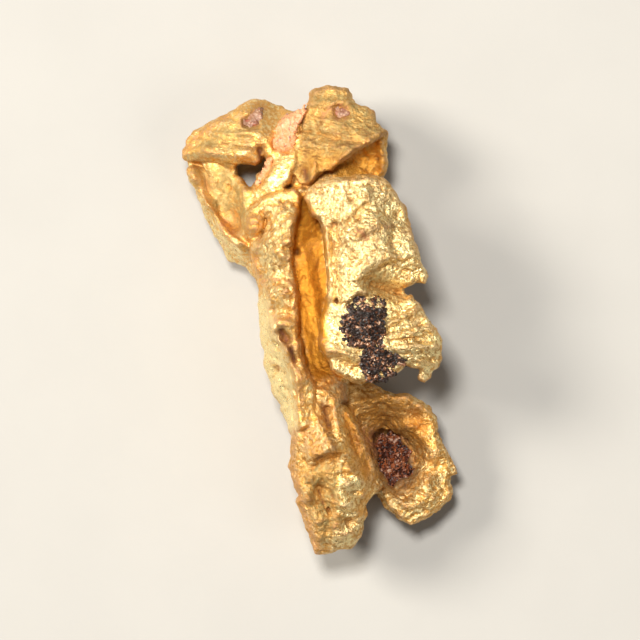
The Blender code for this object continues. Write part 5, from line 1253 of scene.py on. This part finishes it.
def thin_gold(obj, triangles):
    """Fewer triangles, with more of them kept on the side that faces up."""
    normals = read_skin(obj.data)[1]
    weights = KEEP_LEAST + (1.0 - KEEP_LEAST) * soft_step(normals[:, 2], *KEEP_SLOPE)
    group = obj.vertex_groups.new(name="keep")
    for level in range(KEEP_LEVELS):
        low, high = level / KEEP_LEVELS, (level + 1) / KEEP_LEVELS
        chosen = np.flatnonzero((weights > low) & (weights <= high))
        group.add([int(i) for i in chosen], 1.0 - high * KEEP_SHARE, "REPLACE")
    obj.data.calc_loop_triangles()
    decimate = obj.modifiers.new("thin", "DECIMATE")
    decimate.ratio = triangles / len(obj.data.loop_triangles)
    decimate.vertex_group = "keep"
    decimate.vertex_group_factor = 1.0
    decimate.use_collapse_triangulate = True
    bake_modifiers(obj)
    obj.vertex_groups.clear()


def paint_gold(mesh):
    """Keep how pale, olive and filmed each point is, its stains, and the highlights and shade painted on it.
    """
    points, normals = read_skin(mesh)
    flat = points[:, :2]
    tree = BVHTree.FromPolygons(points.tolist(), [tuple(p.vertices) for p in mesh.polygons])
    seen = seen_from_above(points, normals, tree)
    free = openness(points, normals, tree)
    cloud = rolling(points, *CLOUDS)
    crest = ((points - eased(mesh, CREST_ROUNDS)) * normals).sum(axis=1)
    filmed = CLOUD_FILM * soft_step(rolling(points, *FILM_CLOUDS), *FILMED_CLOUDS)
    layers = {
        "pale": PALE + PALE * cloud,
        "olive": OLIVE + OLIVE * cloud,
        # Painted shade: orange and dark where a point sees little sky, and dark in grooves.
        "amber": AMBER_SHADE * (1.0 - soft_step(free, *AMBER_SHADE_SKY)),
        "film": filmed + CREST_FILM * soft_step(crest, *CRESTS),
        "dirt": SHELTER_SHADE * (1.0 - soft_step(free, *SHELTER_SHADE_SKY)),
        "groove": soft_step(-crest, *GROOVES),
    }
    torn = flat + np.column_stack([cloud, rolling(points, *TINT_CLOUDS)]) * TINT_TEAR
    for layer, areas in TINTED_AREAS.items():
        for amount, softness, outline in areas:
            mask = area_mask(torn, outline, softness) * seen
            layers[layer] = layers[layer] + (amount - layers[layer]) * mask
    for layer, lines in TINTED_LINES.items():
        for amount, width, line in lines:
            away = distance_to_line(flat, line) / width * (1.0 + LINE_WANDER * cloud)
            mask = np.exp(-(away ** 2)) * seen
            layers[layer] = layers[layer] + (amount - layers[layer]) * mask
    for name, values in layers.items():
        set_attribute(mesh, name, np.clip(values, 0.0, MOST_PAINT))


def grow_gold(settings):
    """The whole nugget of gold as one mesh, in millimetres."""
    meshes = [gold_sheet(sheet, number * SHEET_SEEDS) for number, sheet in enumerate(SHEETS)]
    meshes += [keel_sheet(keel) for keel in KEELS]
    gold = new_object("gold_nugget", joined_mesh("gold_nugget", meshes))
    remesh = gold.modifiers.new("join", "REMESH")
    remesh.mode = "VOXEL"
    remesh.voxel_size = settings.voxel / MM
    bake_modifiers(gold)
    keep_largest_body(gold.data)
    write_points(gold.data, eased(gold.data, JOIN_ROUNDS))
    roughen_gold(gold.data, settings)
    thin_gold(gold, settings.triangles)
    paint_gold(gold.data)
    return gold


# ---------------------------------------------------------------- finishes

# Noise is (waves per millimetre, detail, roughness). A ramp is (from, to), with the values that it gives
# there if they aren't 0 and 1.
BROAD = (0.9, 5.0)
CLOUD = (1.9, 4.0, 0.6)
MIDDLE = (5.5, 3.0, 0.6)
FINE = (12.0, 2.0, 0.6)
VEINS = (2.3, 5.0, 0.6)
FINE_IN_GRAIN = 0.35
TONE_BY_GRAIN = (0.58, 0.77, -0.55, 0.45)
TONE_BY_CLOUD = (0.38, 0.62, -0.35, 0.3)
OLIVE_BY_CLOUD = (0.32, 0.62, 0.4, 1.0)
MOTTLE_BY_GRAIN = (0.68, 0.56)
MOTTLE_BY_CLOUD = (0.36, 0.6, 0.4, 1.0)
MOTTLE_BY_SKIN = (0.2, 0.65, 0.1, 0.85)
VEIN_WIDTH = (0.022, 0.0)
VEINS_BY_BROAD = (0.45, 0.6, 0.1, 0.7)
VEINS_BY_AMBER_SHADE = (0.2, 0.7, 1.0, 0.0)
STAIN_ON_LINES = 0.6
# The groove and sheltered darkening that these ramps shape is painted shade.
GROOVE_BY_MIDDLE = (0.35, 0.6, 0.45, 0.95)
FILM_BY_MIDDLE = (0.38, 0.55)
DIRT_AND_SHADE_BY_MIDDLE = (0.25, 0.6, 0.7, 1.0)
PIT_CELLS = 2.3
PIT_WIDTH = (0.10, 0.04)
PITS_BY_BROAD = (0.5, 0.58, 0.0, 0.8)
DIRT_ON_LINES = 0.45
DULL_FILM = 0.6  # how much each layer takes from the gold's shine
DULL_OLIVE = 0.8
DULL_AMBER_SHADE = 0.6
DULL_ROUGHNESS = 0.7
ROUGHNESS = (0.3, 0.7, 0.62, 0.52)
PALE_ROUGHNESS = (0.3, 0.7, 0.50, 0.38)
SPARKLE = (0.54, 0.64, 0.0, 0.22)
CLEAN_METAL = 0.95
STAINED_METAL = 0.2
OLIVE_METAL = 0.5
GRAIN_HEIGHT = 0.00012  # heights of bumps are in metres
BUMP_BY_SKIN = (0.1, 0.65)
LEAST_BUMP = 0.35

QUARTZ_CLOUD = (1.8, 5.0, 0.6)
QUARTZ_CELLS = 7.0
QUARTZ_STAIN = (3.4, 4.0, 0.6)
QUARTZ_TOOTH = (12.0, 4.0, 0.6)
SHADOW_BY_CLOUD = (0.36, 0.62)
STAIN_WIDTH = (0.55, 0.7)
SPARK_BY_CELL = (0.45, 0.1, 0.0, 0.35)
QUARTZ_HEIGHT = 0.00004
QUARTZ_BUMP = 0.7
QUARTZ_SHEEN = 9.0
QUARTZ_ROUGHNESS = (0.35, 0.65, 0.28, 0.6)
QUARTZ_SPARK = (0.70, 0.47, 0.32)
PINK_SHADOW = (0.56, 0.25, 0.11)
MAUVE_PALE = (0.27, 0.145, 0.085)

PATCHES = (1.7, 3.0)
PATCH_SHADES = (0.36, 0.62, -0.25, 0.15)
SPECKS = (16.0, 3.0, 0.6)
SPECK_SHADES = (0.3, 0.7, -0.15, 0.15)
GRAIN_TOOTH = (14.0, 4.0, 0.65)
TOOTH_HEIGHT = 0.00002
TOOTH_BUMP = 0.8
GRAIN_SHEEN = 8.0
GRAIN_ROUGHNESS = (0.35, 0.65, 0.25, 0.6)

TABLE_CLOUD = (0.15, 4.0)
TABLE_SHADES = (0.3, 0.7, 0.97, 1.0)
TABLE_TOOTH = (0.00001, 0.3)


def add_node(tree, kind, inputs, **settings):
    """Add a node with its settings, and set or link its inputs by name or number."""
    made = tree.nodes.new(kind)
    for name, value in settings.items():
        setattr(made, name, value)
    for key, value in inputs.items():
        fill_socket(tree, made.inputs[key], value)
    return made


def fill_socket(tree, socket, value):
    """Link a socket to another one, or give it a value."""
    if isinstance(value, bpy.types.NodeSocket):
        tree.links.new(value, socket)
    else:
        socket.default_value = value


def solid(color):
    """A colour with full alpha."""
    return (*color, 1.0)


class Finish:
    """A material that is put together from its patterns to its shader, on coordinates in millimetres."""

    def __init__(self, name):
        self.material = bpy.data.materials.new(name)
        self.material.use_nodes = True
        self.tree = self.material.node_tree
        self.tree.nodes.clear()
        place = self.add("ShaderNodeTexCoord", {}).outputs["Object"]
        self.place = self.add("ShaderNodeMapping", {"Vector": place, "Scale": (1.0 / MM,) * 3}).outputs[0]

    def add(self, kind, inputs, **settings):
        return add_node(self.tree, kind, inputs, **settings)

    def noise(self, scale, detail=4.0, roughness=0.55):
        inputs = {"Vector": self.place, "Scale": scale, "Detail": detail, "Roughness": roughness}
        return self.add("ShaderNodeTexNoise", inputs).outputs["Fac"]

    def cells(self, scale):
        return self.add("ShaderNodeTexVoronoi", {"Vector": self.place, "Scale": scale}).outputs["Distance"]

    def ramp(self, value, low, high, from_value=0.0, to_value=1.0):
        inputs = {"Value": value, "From Min": low, "From Max": high, "To Min": from_value, "To Max": to_value}
        return self.add("ShaderNodeMapRange", inputs, interpolation_type="SMOOTHSTEP").outputs[0]

    def maths(self, operation, a, b):
        return self.add("ShaderNodeMath", {0: a, 1: b}, operation=operation).outputs[0]

    def plus(self, a, b):
        return self.maths("ADD", a, b)

    def times(self, a, b):
        return self.maths("MULTIPLY", a, b)

    def most(self, a, b):
        return self.maths("MAXIMUM", a, b)

    def kept(self, name):
        return self.add("ShaderNodeAttribute", {}, attribute_name=name).outputs["Fac"]

    def mix(self, share, a, b):
        return self.add("ShaderNodeMix", {0: share, 6: a, 7: b}, data_type="RGBA").outputs[2]

    def blend(self, share, a, b):
        return self.add("ShaderNodeMix", {0: share, 2: a, 3: b}, data_type="FLOAT").outputs[0]

    def bump(self, height, distance, strength):
        inputs = {"Height": height, "Distance": distance, "Strength": strength}
        return self.add("ShaderNodeBump", inputs).outputs[0]

    def end(self, inputs):
        shader = self.add("ShaderNodeBsdfPrincipled", inputs)
        self.add("ShaderNodeOutputMaterial", {"Surface": shader.outputs[0]})
        return self.material


def gold_finish(settings):
    """Crystalline gold: olive in places, brown film on crests, stains in pits, painted highlights and shade.
    """
    finish = Finish("crystalline gold")
    broad, cloud = finish.noise(*BROAD), finish.noise(*CLOUD)
    middle, fine = finish.noise(*MIDDLE), finish.noise(*FINE)
    pale, line, skin, amber = (finish.kept(name) for name in ("pale", "line", "grain", "amber"))
    grain = finish.plus(middle, finish.times(fine, FINE_IN_GRAIN))

    tone = finish.plus(finish.ramp(grain, *TONE_BY_GRAIN), finish.ramp(cloud, *TONE_BY_CLOUD))
    # Pale lifts the colour to bright gold: clean gold, and painted highlights.
    color = finish.mix(finish.plus(pale, tone), solid(settings.warm), solid(settings.bright))
    olive = finish.times(finish.kept("olive"), finish.ramp(cloud, *OLIVE_BY_CLOUD))
    color = finish.mix(olive, color, solid(settings.olive))
    # Painted shade and reflected light in hollows.
    color = finish.mix(amber, color, solid(settings.amber))

    mottle = finish.times(finish.ramp(grain, *MOTTLE_BY_GRAIN), finish.ramp(cloud, *MOTTLE_BY_CLOUD))
    mottle = finish.times(mottle, finish.ramp(skin, *MOTTLE_BY_SKIN))
    veins = finish.maths("ABSOLUTE", finish.maths("SUBTRACT", finish.noise(*VEINS), 0.5), 0.0)
    veins = finish.times(finish.ramp(veins, *VEIN_WIDTH), finish.ramp(broad, *VEINS_BY_BROAD))
    veins = finish.times(veins, finish.ramp(amber, *VEINS_BY_AMBER_SHADE))
    veins = finish.most(veins, finish.times(line, STAIN_ON_LINES))
    # The groove mask is painted shade in grooves; the mottle and veins are the gold's own stains.
    groove = finish.times(finish.kept("groove"), finish.ramp(middle, *GROOVE_BY_MIDDLE))
    color = finish.mix(finish.most(mottle, finish.most(veins, groove)), color, solid(settings.stain))

    film = finish.times(finish.kept("film"), finish.ramp(middle, *FILM_BY_MIDDLE))
    color = finish.mix(film, color, solid(settings.film))
    # Darkening in pits and along lines, and painted shade in sheltered places.
    dirt = finish.times(finish.kept("dirt"), finish.ramp(middle, *DIRT_AND_SHADE_BY_MIDDLE))
    dots = finish.times(finish.ramp(finish.cells(PIT_CELLS), *PIT_WIDTH), finish.ramp(broad, *PITS_BY_BROAD))
    dirt = finish.most(dirt, finish.most(dots, finish.times(line, DIRT_ON_LINES)))
    color = finish.mix(dirt, color, solid(settings.dirt))

    # This mask also holds the painted shade of sheltered places, and dulls the gold there.
    stain = finish.most(finish.times(film, DULL_FILM), dirt)
    dull = finish.most(finish.times(olive, DULL_OLIVE), stain)
    dull = finish.most(finish.times(amber, DULL_AMBER_SHADE), dull)
    shine = finish.blend(pale, finish.ramp(middle, *ROUGHNESS), finish.ramp(middle, *PALE_ROUGHNESS))
    shine = finish.maths("SUBTRACT", shine, finish.ramp(fine, *SPARKLE))
    stained = finish.most(stain, finish.times(olive, OLIVE_METAL))
    strength = finish.ramp(skin, *BUMP_BY_SKIN, settings.grain_bump * LEAST_BUMP, settings.grain_bump)
    return finish.end({
        "Base Color": color,
        "Metallic": finish.blend(stained, CLEAN_METAL, STAINED_METAL),
        "Roughness": finish.blend(dull, shine, DULL_ROUGHNESS),
        "Normal": finish.bump(grain, GRAIN_HEIGHT, strength),
    })


def quartz_finish(name, pale, deep, stain):
    """Sugary quartz, stained by iron in patches."""
    finish = Finish(name)
    cells = finish.cells(QUARTZ_CELLS)
    shadow = finish.plus(finish.ramp(finish.noise(*QUARTZ_CLOUD), *SHADOW_BY_CLOUD), finish.kept("deep"))
    color = finish.mix(shadow, solid(pale), solid(deep))
    color = finish.mix(finish.ramp(finish.noise(*QUARTZ_STAIN), *STAIN_WIDTH), color, solid(stain))
    color = finish.mix(finish.ramp(cells, *SPARK_BY_CELL), color, solid(QUARTZ_SPARK))
    height = finish.plus(cells, finish.noise(*QUARTZ_TOOTH))
    return finish.end({
        "Base Color": color,
        "Roughness": finish.ramp(finish.noise(QUARTZ_SHEEN), *QUARTZ_ROUGHNESS),
        "Normal": finish.bump(height, QUARTZ_HEIGHT, QUARTZ_BUMP),
        "Subsurface Weight": 0.15,
        "Subsurface Radius": (0.0006, 0.0003, 0.0002),
        "Subsurface Scale": 1.0,
        "Coat Weight": 0.06,
        "Coat Roughness": 0.25,
    })


def grain_finish(name, shades):
    """Packed grains, each with a shade of its own. Shades are (where it starts, colour)."""
    finish = Finish(name)
    patch = finish.ramp(finish.noise(*PATCHES), *PATCH_SHADES)
    speck = finish.ramp(finish.noise(*SPECKS), *SPECK_SHADES)
    shade = finish.plus(finish.kept("shade"), finish.plus(patch, speck))
    ramp = finish.add("ShaderNodeValToRGB", {"Fac": shade})
    stops = ramp.color_ramp.elements
    while len(stops) < len(shades):
        stops.new(0.5)
    for stop, (start, color) in zip(stops, shades):
        stop.position = start
        stop.color = solid(color)
    return finish.end({
        "Base Color": ramp.outputs["Color"],
        "Roughness": finish.ramp(finish.noise(GRAIN_SHEEN), *GRAIN_ROUGHNESS),
        "Normal": finish.bump(finish.noise(*GRAIN_TOOTH), TOOTH_HEIGHT, TOOTH_BUMP),
        "Coat Weight": 0.08,
        "Coat Roughness": 0.25,
    })


def floor_finish(color):
    """A pale matt table with a very fine tooth."""
    finish = Finish("pale table")
    tint = finish.ramp(finish.noise(*TABLE_CLOUD), *TABLE_SHADES)
    shade = finish.add("ShaderNodeVectorMath", {0: color, "Scale": tint}, operation="SCALE").outputs[0]
    tooth = finish.bump(finish.noise(6.0), *TABLE_TOOTH)
    return finish.end({"Base Color": shade, "Roughness": 0.75, "Normal": tooth})


# ---------------------------------------------------------------- the stones


def stone_mesh(name, form, depth, ruggedness, facet, seed):
    """A stone's body over its outline: a rough upper side, and walls that go down into the gold."""

    def top(places):
        return surface(places, form["top"]) - form["sunk"]

    def under(places):
        return top(places) - depth

    mesh = sheet_mesh(name, [ragged(form["outline"], STONE_TEAR, seed)], top, under, STONE_RIM, STONE_STEP)
    points, normals = read_skin(mesh)
    push = scales(points, facet, seed) * ruggedness
    push = push + rolling(points, facet * FINE_SHARE, FINE_OCTAVES, seed) * ruggedness * FINE_SHARE
    points = points + normals * push[:, None]
    write_points(mesh, points)
    if "deep" in form:
        set_attribute(mesh, "deep", area_mask(points[:, :2], form["deep"], DEEP_BLEND))
    return mesh


def grain_tree():
    """Geometry nodes that pack faceted grains on whatever part of a mesh faces up."""
    tree = bpy.data.node_groups.new("packed grains", "GeometryNodeTree")
    face = tree.interface
    face.new_socket("Geometry", in_out="INPUT", socket_type="NodeSocketGeometry")
    for name, kind, value in GRAIN_INPUTS:
        socket = face.new_socket(name, in_out="INPUT", socket_type=kind)
        if value is not None:
            socket.default_value = value
    face.new_socket("Geometry", in_out="OUTPUT", socket_type="NodeSocketGeometry")
    given = add_node(tree, "NodeGroupInput", {}).outputs
    normal = add_node(tree, "GeometryNodeInputNormal", {}).outputs[0]
    upward = add_node(tree, "ShaderNodeSeparateXYZ", {0: normal}).outputs["Z"]
    facing = add_node(tree, "ShaderNodeMath", {0: upward, 1: GRAIN_SLOPE}, operation="GREATER_THAN")
    inputs = {"Mesh": given["Geometry"], "Selection": facing.outputs[0], "Distance Min": given["Spacing"]}
    inputs |= {"Density Max": given["Density"], "Seed": given["Seed"]}
    scatter = add_node(tree, "GeometryNodeDistributePointsOnFaces", inputs, distribute_method="POISSON")

    def random(kind, low, high, shift, output):
        seed = add_node(tree, "ShaderNodeMath", {0: given["Seed"], 1: shift}, operation="ADD").outputs[0]
        values = add_node(tree, "FunctionNodeRandomValue", {"Seed": seed}, data_type=kind)
        sockets = [socket for socket in values.inputs if socket.enabled and socket.name in ("Min", "Max")]
        for socket, value in zip(sockets, (low, high)):
            fill_socket(tree, socket, value)
        return values.outputs[output]

    shade = random("FLOAT", 0.0, 1.0, 1.0, 1)
    inputs = {"Geometry": scatter.outputs["Points"], "Name": "shade", "Value": shade}
    marked = add_node(tree, "GeometryNodeStoreNamedAttribute", inputs, data_type="FLOAT", domain="POINT")
    grain = add_node(tree, "GeometryNodeMeshIcoSphere", {"Radius": 1.0, "Subdivisions": 1}).outputs["Mesh"]
    shape = random("FLOAT_VECTOR", *((stretch,) * 3 for stretch in GRAIN_STRETCH), 2.0, 0)
    radius = random("FLOAT", given["Smallest"], given["Largest"], 3.0, 1)
    size = add_node(tree, "ShaderNodeVectorMath", {0: shape, "Scale": radius}, operation="SCALE").outputs[0]
    turn = random("FLOAT_VECTOR", (0.0,) * 3, (FULL_TURN,) * 3, 4.0, 0)
    inputs = {"Points": marked.outputs[0], "Instance": grain, "Rotation": turn, "Scale": size}
    grains = add_node(tree, "GeometryNodeInstanceOnPoints", inputs).outputs[0]
    joined = add_node(tree, "GeometryNodeJoinGeometry", {})
    tree.links.new(grains, joined.inputs[0])
    tree.links.new(given["Geometry"], joined.inputs[0])
    realized = add_node(tree, "GeometryNodeRealizeInstances", {"Geometry": joined.outputs[0]}).outputs[0]
    inputs = {"Geometry": realized, "Material": given["Material"]}
    dressed = add_node(tree, "GeometryNodeSetMaterial", inputs).outputs[0]
    add_node(tree, "NodeGroupOutput", {0: dressed})
    return tree


def pack_grains(obj, values):
    """Cover a stone with grains and make the result its own mesh."""
    tree = grain_tree()
    modifier = obj.modifiers.new("grains", "NODES")
    modifier.node_group = tree
    for item in tree.interface.items_tree:
        if item.in_out == "INPUT" and item.name in values:
            modifier[item.identifier] = values[item.name]
    bake_modifiers(obj)
    bpy.data.node_groups.remove(tree)


def grain_stone(settings, name, body, finish, grains):
    """A stone that is covered with packed grains, from its mesh, its finish and its grains' seed."""
    stone = new_object(name, body)
    pack_grains(stone, {
        "Spacing": settings.grain_spacing / MM,
        "Smallest": settings.smallest_grain / MM,
        "Largest": settings.largest_grain / MM,
        "Density": GRAIN_DENSITY,
        "Seed": grains,
        "Material": finish,
    })
    return stone


# ---------------------------------------------------------------- settings


class NuggetGoldSettings(bpy.types.PropertyGroup):
    """Sizes and colours of the gold."""

    voxel: FloatProperty(
        name="Voxel", description="Grain of the joined sheets",
        default=0.00005, unit="LENGTH", precision=6,
    )
    triangles: IntProperty(name="Triangles", description="Triangles in the gold's mesh", default=192000)
    fold_depth: FloatProperty(
        name="Fold depth", description="Depth of the ledges on steep walls",
        default=0.00006, unit="LENGTH", precision=6,
    )
    wall_depth: FloatProperty(
        name="Wall depth", description="Depth of the broad folds on steep walls",
        default=0.00022, unit="LENGTH", precision=6,
    )
    face_depth: FloatProperty(
        name="Face depth", description="Height of the crystal faces",
        default=0.00003, unit="LENGTH", precision=6,
    )
    crumple_depth: FloatProperty(
        name="Crumple depth", description="Depth of the crumpled folds",
        default=0.00007, unit="LENGTH", precision=6,
    )
    pit_depth: FloatProperty(
        name="Pit depth", description="Depth of the scattered pits",
        default=0.00009, unit="LENGTH", precision=6,
    )
    grain_size: FloatProperty(
        name="Grain size", description="Size of the skin's grain",
        default=0.00013, unit="LENGTH", precision=6,
    )
    grain_depth: FloatProperty(
        name="Grain depth", description="Height of the skin's grain",
        default=0.00002, unit="LENGTH", precision=6,
    )
    grain_bump: FloatProperty(name="Grain bump", description="Strength of the finest grain", default=1.0)
    # Also the colour of the painted highlights.
    bright: FloatVectorProperty(
        name="Bright gold", description="Colour of clean gold",
        subtype="COLOR", default=(1.0, 0.83, 0.43),
    )
    warm: FloatVectorProperty(
        name="Warm gold", description="Colour of warmer clean gold",
        subtype="COLOR", default=(0.84, 0.47, 0.13),
    )
    olive: FloatVectorProperty(
        name="Olive gold", description="Colour of the greener gold",
        subtype="COLOR", default=(0.35, 0.245, 0.085),
    )
    # Colour of the shade and reflected light painted into hollows.
    amber: FloatVectorProperty(
        name="Amber gold", description="Colour of gold in hollows",
        subtype="COLOR", default=(0.62, 0.29, 0.03),
    )
    # Also darkens grooves as painted shade.
    stain: FloatVectorProperty(
        name="Stain", description="Colour of the fine brown mottling",
        subtype="COLOR", default=(0.40, 0.195, 0.045),
    )
    film: FloatVectorProperty(
        name="Film", description="Colour of the iron film on the crests",
        subtype="COLOR", default=(0.46, 0.205, 0.08),
    )
    # Also the colour of the shade painted into sheltered places.
    dirt: FloatVectorProperty(
        name="Dirt", description="Colour of the dirt in the pits",
        subtype="COLOR", default=(0.11, 0.03, 0.012),
    )


class NuggetStoneSettings(bpy.types.PropertyGroup):
    """Sizes and colours of the quartz and the ironstone."""

    smallest_grain: FloatProperty(
        name="Smallest grain", description="Radius of the smallest grains",
        default=0.00003, unit="LENGTH", precision=6,
    )
    largest_grain: FloatProperty(
        name="Largest grain", description="Radius of the largest grains",
        default=0.00009, unit="LENGTH", precision=6,
    )
    grain_spacing: FloatProperty(
        name="Grain spacing", description="Least distance between grains",
        default=0.00006, unit="LENGTH", precision=6,
    )
    salmon: FloatVectorProperty(
        name="Salmon quartz", description="Colour of the pink quartz",
        subtype="COLOR", default=(0.72, 0.34, 0.18),
    )
    mauve: FloatVectorProperty(
        name="Mauve quartz", description="Colour of the mauve quartz",
        subtype="COLOR", default=(0.17, 0.065, 0.035),
    )
    rust: FloatVectorProperty(
        name="Rust", description="Colour of the iron stain in the quartz",
        subtype="COLOR", default=(0.30, 0.07, 0.04),
    )


class NuggetStageSettings(bpy.types.PropertyGroup):
    """The table, the lights and the camera."""

    table_color: FloatVectorProperty(
        name="Table", description="Colour of the table",
        subtype="COLOR", default=(0.38, 0.375, 0.36),
    )
    table_size: FloatProperty(
        name="Table size", description="Width of the table",
        default=0.6, unit="LENGTH",
    )
    view_width: FloatProperty(
        name="View width", description="Width that the camera takes in",
        default=0.02995, unit="LENGTH", precision=5,
    )
    view_height: FloatProperty(
        name="View height", description="Height of the camera over the table",
        default=0.4, unit="LENGTH",
    )
    key_power: FloatProperty(
        name="Key light", description="Power of the light on the left, in watts",
        default=3.8,
    )
    fill_power: FloatProperty(
        name="Fill light", description="Power of the light on the right, in watts",
        default=0.73,
    )
    top_power: FloatProperty(
        name="Top light", description="Power of the light overhead, in watts",
        default=1.2,
    )
    sky: FloatProperty(name="Sky", description="Strength of the light from all round", default=0.04)
    backdrop: FloatProperty(
        name="Backdrop", description="How bright the room looks behind the table",
        default=0.55,
    )


# ---------------------------------------------------------------- operators


class NUGGET_OT_gold(bpy.types.Operator):
    """Grow the gold from its sheets, roughen it and give it its finish"""

    bl_idname = "nugget.gold"
    bl_label = "Gold"

    def execute(self, context):
        settings = context.scene.nugget_gold
        finish_piece(grow_gold(settings), gold_finish(settings), "gold", "gold")
        return {"FINISHED"}


class NUGGET_OT_quartz(bpy.types.Operator):
    """Set the four pieces of quartz in the gold's upper end"""

    bl_idname = "nugget.quartz"
    bl_label = "Quartz"

    def execute(self, context):
        settings = context.scene.nugget_stones
        finishes = {
            "salmon": quartz_finish("salmon quartz", settings.salmon, PINK_SHADOW, settings.mauve),
            "mauve": quartz_finish("mauve quartz", settings.mauve, MAUVE_PALE, settings.rust),
        }
        for number, (name, form, finish, slot, ruggedness) in enumerate(QUARTZ):
            mesh = stone_mesh(name, form, QUARTZ_DEPTH, ruggedness, QUARTZ_FACET, QUARTZ_SEED + number)
            finish_piece(new_object(name + "_piece", mesh), finishes[finish], slot, name)
        return {"FINISHED"}


class NUGGET_OT_ironstone(bpy.types.Operator):
    """Set the ironstone in the plate and pack its face with grains"""

    bl_idname = "nugget.ironstone"
    bl_label = "Ironstone"

    def execute(self, context):
        finish = grain_finish("ironstone grains", IRONSTONE_SHADES)
        body = stone_mesh("ironstone", IRONSTONE, *IRONSTONE_BODY)
        stone = grain_stone(context.scene.nugget_stones, "ironstone_piece", body, finish, IRONSTONE_GRAINS)
        finish_piece(stone, finish, "ironstone", "ironstone")
        stone.data.shade_flat()
        return {"FINISHED"}


class NUGGET_OT_pocket(bpy.types.Operator):
    """Fill the lobe's pocket with stained quartz"""

    bl_idname = "nugget.pocket"
    bl_label = "Pocket quartz"

    def execute(self, context):
        finish = grain_finish("stained quartz grains", POCKET_SHADES)
        body = stone_mesh("pocket", POCKET_QUARTZ, *POCKET_BODY)
        stone = grain_stone(context.scene.nugget_stones, "pocket_quartz_piece", body, finish, POCKET_GRAINS)
        finish_piece(stone, finish, "stained_quartz", "pocket_quartz")
        stone.data.shade_flat()
        return {"FINISHED"}


# The lights: width of each and where it hangs, in metres, and its colour.
LIGHTS = {
    "key": (0.18, (-0.37, 0.13, 0.37), (1.0, 0.93, 0.82)),
    "fill": (0.26, (0.35, -0.18, 0.44), (1.0, 0.95, 0.88)),
    "top": (0.05, (-0.03, 0.06, 0.30), (1.0, 0.96, 0.9)),
}
ROOM_COLOR = (1.0, 0.97, 0.93)
FRAMED_HEIGHT = 0.6  # how high on the nugget the camera's width is measured, as a share of its height
NEAREST_SEEN = 0.01


def studio_world(sky, backdrop):
    """Light from all round of one strength that looks like a backdrop of another."""
    world = bpy.data.worlds.new("studio")
    world.use_nodes = True
    tree = world.node_tree
    seen = tree.nodes.new("ShaderNodeLightPath").outputs["Is Camera Ray"]
    strength = add_node(tree, "ShaderNodeMix", {0: seen, 2: sky, 3: backdrop}, data_type="FLOAT").outputs[0]
    background = tree.nodes["Background"]
    background.inputs["Color"].default_value = solid(ROOM_COLOR)
    tree.links.new(strength, background.inputs["Strength"])
    return world


class NUGGET_OT_stage(bpy.types.Operator):
    """Lay the table, hang the lights and place the camera straight above"""

    bl_idname = "nugget.stage"
    bl_label = "Stage"

    def execute(self, context):
        settings = context.scene.nugget_stage
        half = settings.table_size / 2
        mesh = bpy.data.meshes.new("table")
        corners = [(-half, -half, 0), (half, -half, 0), (half, half, 0), (-half, half, 0)]
        mesh.from_pydata(corners, [], [(0, 1, 2, 3)])
        mesh.materials.append(floor_finish(settings.table_color))
        new_object("table", mesh)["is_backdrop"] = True
        for name, (size, place, color) in LIGHTS.items():
            light = bpy.data.lights.new(name, "AREA")
            light.energy = getattr(settings, name + "_power")
            light.size = size
            light.color = color
            lamp = new_object(name, light)
            lamp.location = place
            lamp.rotation_euler = (-Vector(place)).to_track_quat("-Z", "Y").to_euler()
        context.scene.world = studio_world(settings.sky, settings.backdrop)
        camera = bpy.data.cameras.new("camera")
        focus = (CAD_BOX[1][2] - CAD_BOX[0][2]) * FRAMED_HEIGHT
        camera.lens = camera.sensor_width * (settings.view_height - focus) / settings.view_width
        camera.clip_start = NEAREST_SEEN
        viewer = new_object("camera", camera)
        viewer.location = (0.0, 0.0, settings.view_height)
        context.scene.camera = viewer
        context.scene.view_settings.view_transform = "Standard"
        return {"FINISHED"}


class NUGGET_PT_sidebar(bpy.types.Panel):
    """The nugget's settings and the buttons that build it"""

    bl_idname = "NUGGET_PT_sidebar"
    bl_label = "Gold Nugget"
    bl_space_type = "VIEW_3D"
    bl_region_type = "UI"
    bl_category = "Nugget"

    def draw(self, context):
        scene = context.scene
        for group in (scene.nugget_gold, scene.nugget_stones, scene.nugget_stage):
            box = self.layout.box()
            for name in group.__annotations__:
                box.prop(group, name)
        for operator in OPERATORS:
            self.layout.operator(operator.bl_idname)


SETTINGS = {
    "nugget_gold": NuggetGoldSettings,
    "nugget_stones": NuggetStoneSettings,
    "nugget_stage": NuggetStageSettings,
}
OPERATORS = (NUGGET_OT_gold, NUGGET_OT_quartz, NUGGET_OT_ironstone, NUGGET_OT_pocket, NUGGET_OT_stage)


def register():
    for kind in (*SETTINGS.values(), *OPERATORS, NUGGET_PT_sidebar):
        bpy.utils.register_class(kind)
    for name, kind in SETTINGS.items():
        setattr(bpy.types.Scene, name, PointerProperty(type=kind))


def unregister():
    for name in SETTINGS:
        delattr(bpy.types.Scene, name)
    for kind in (NUGGET_PT_sidebar, *reversed(OPERATORS), *reversed(SETTINGS.values())):
        bpy.utils.unregister_class(kind)


def main():
    """Build every piece in order and work out how large the model and its frame are."""
    register()
    bpy.ops.nugget.gold()
    bpy.ops.nugget.quartz()
    bpy.ops.nugget.ironstone()
    bpy.ops.nugget.pocket()
    bpy.ops.nugget.stage()
    boxes = {"cad": CAD_BOX, "visual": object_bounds()}
    {name: [list(corner) for corner in box] for name, box in boxes.items()}


if __name__ == "__main__":
    main()
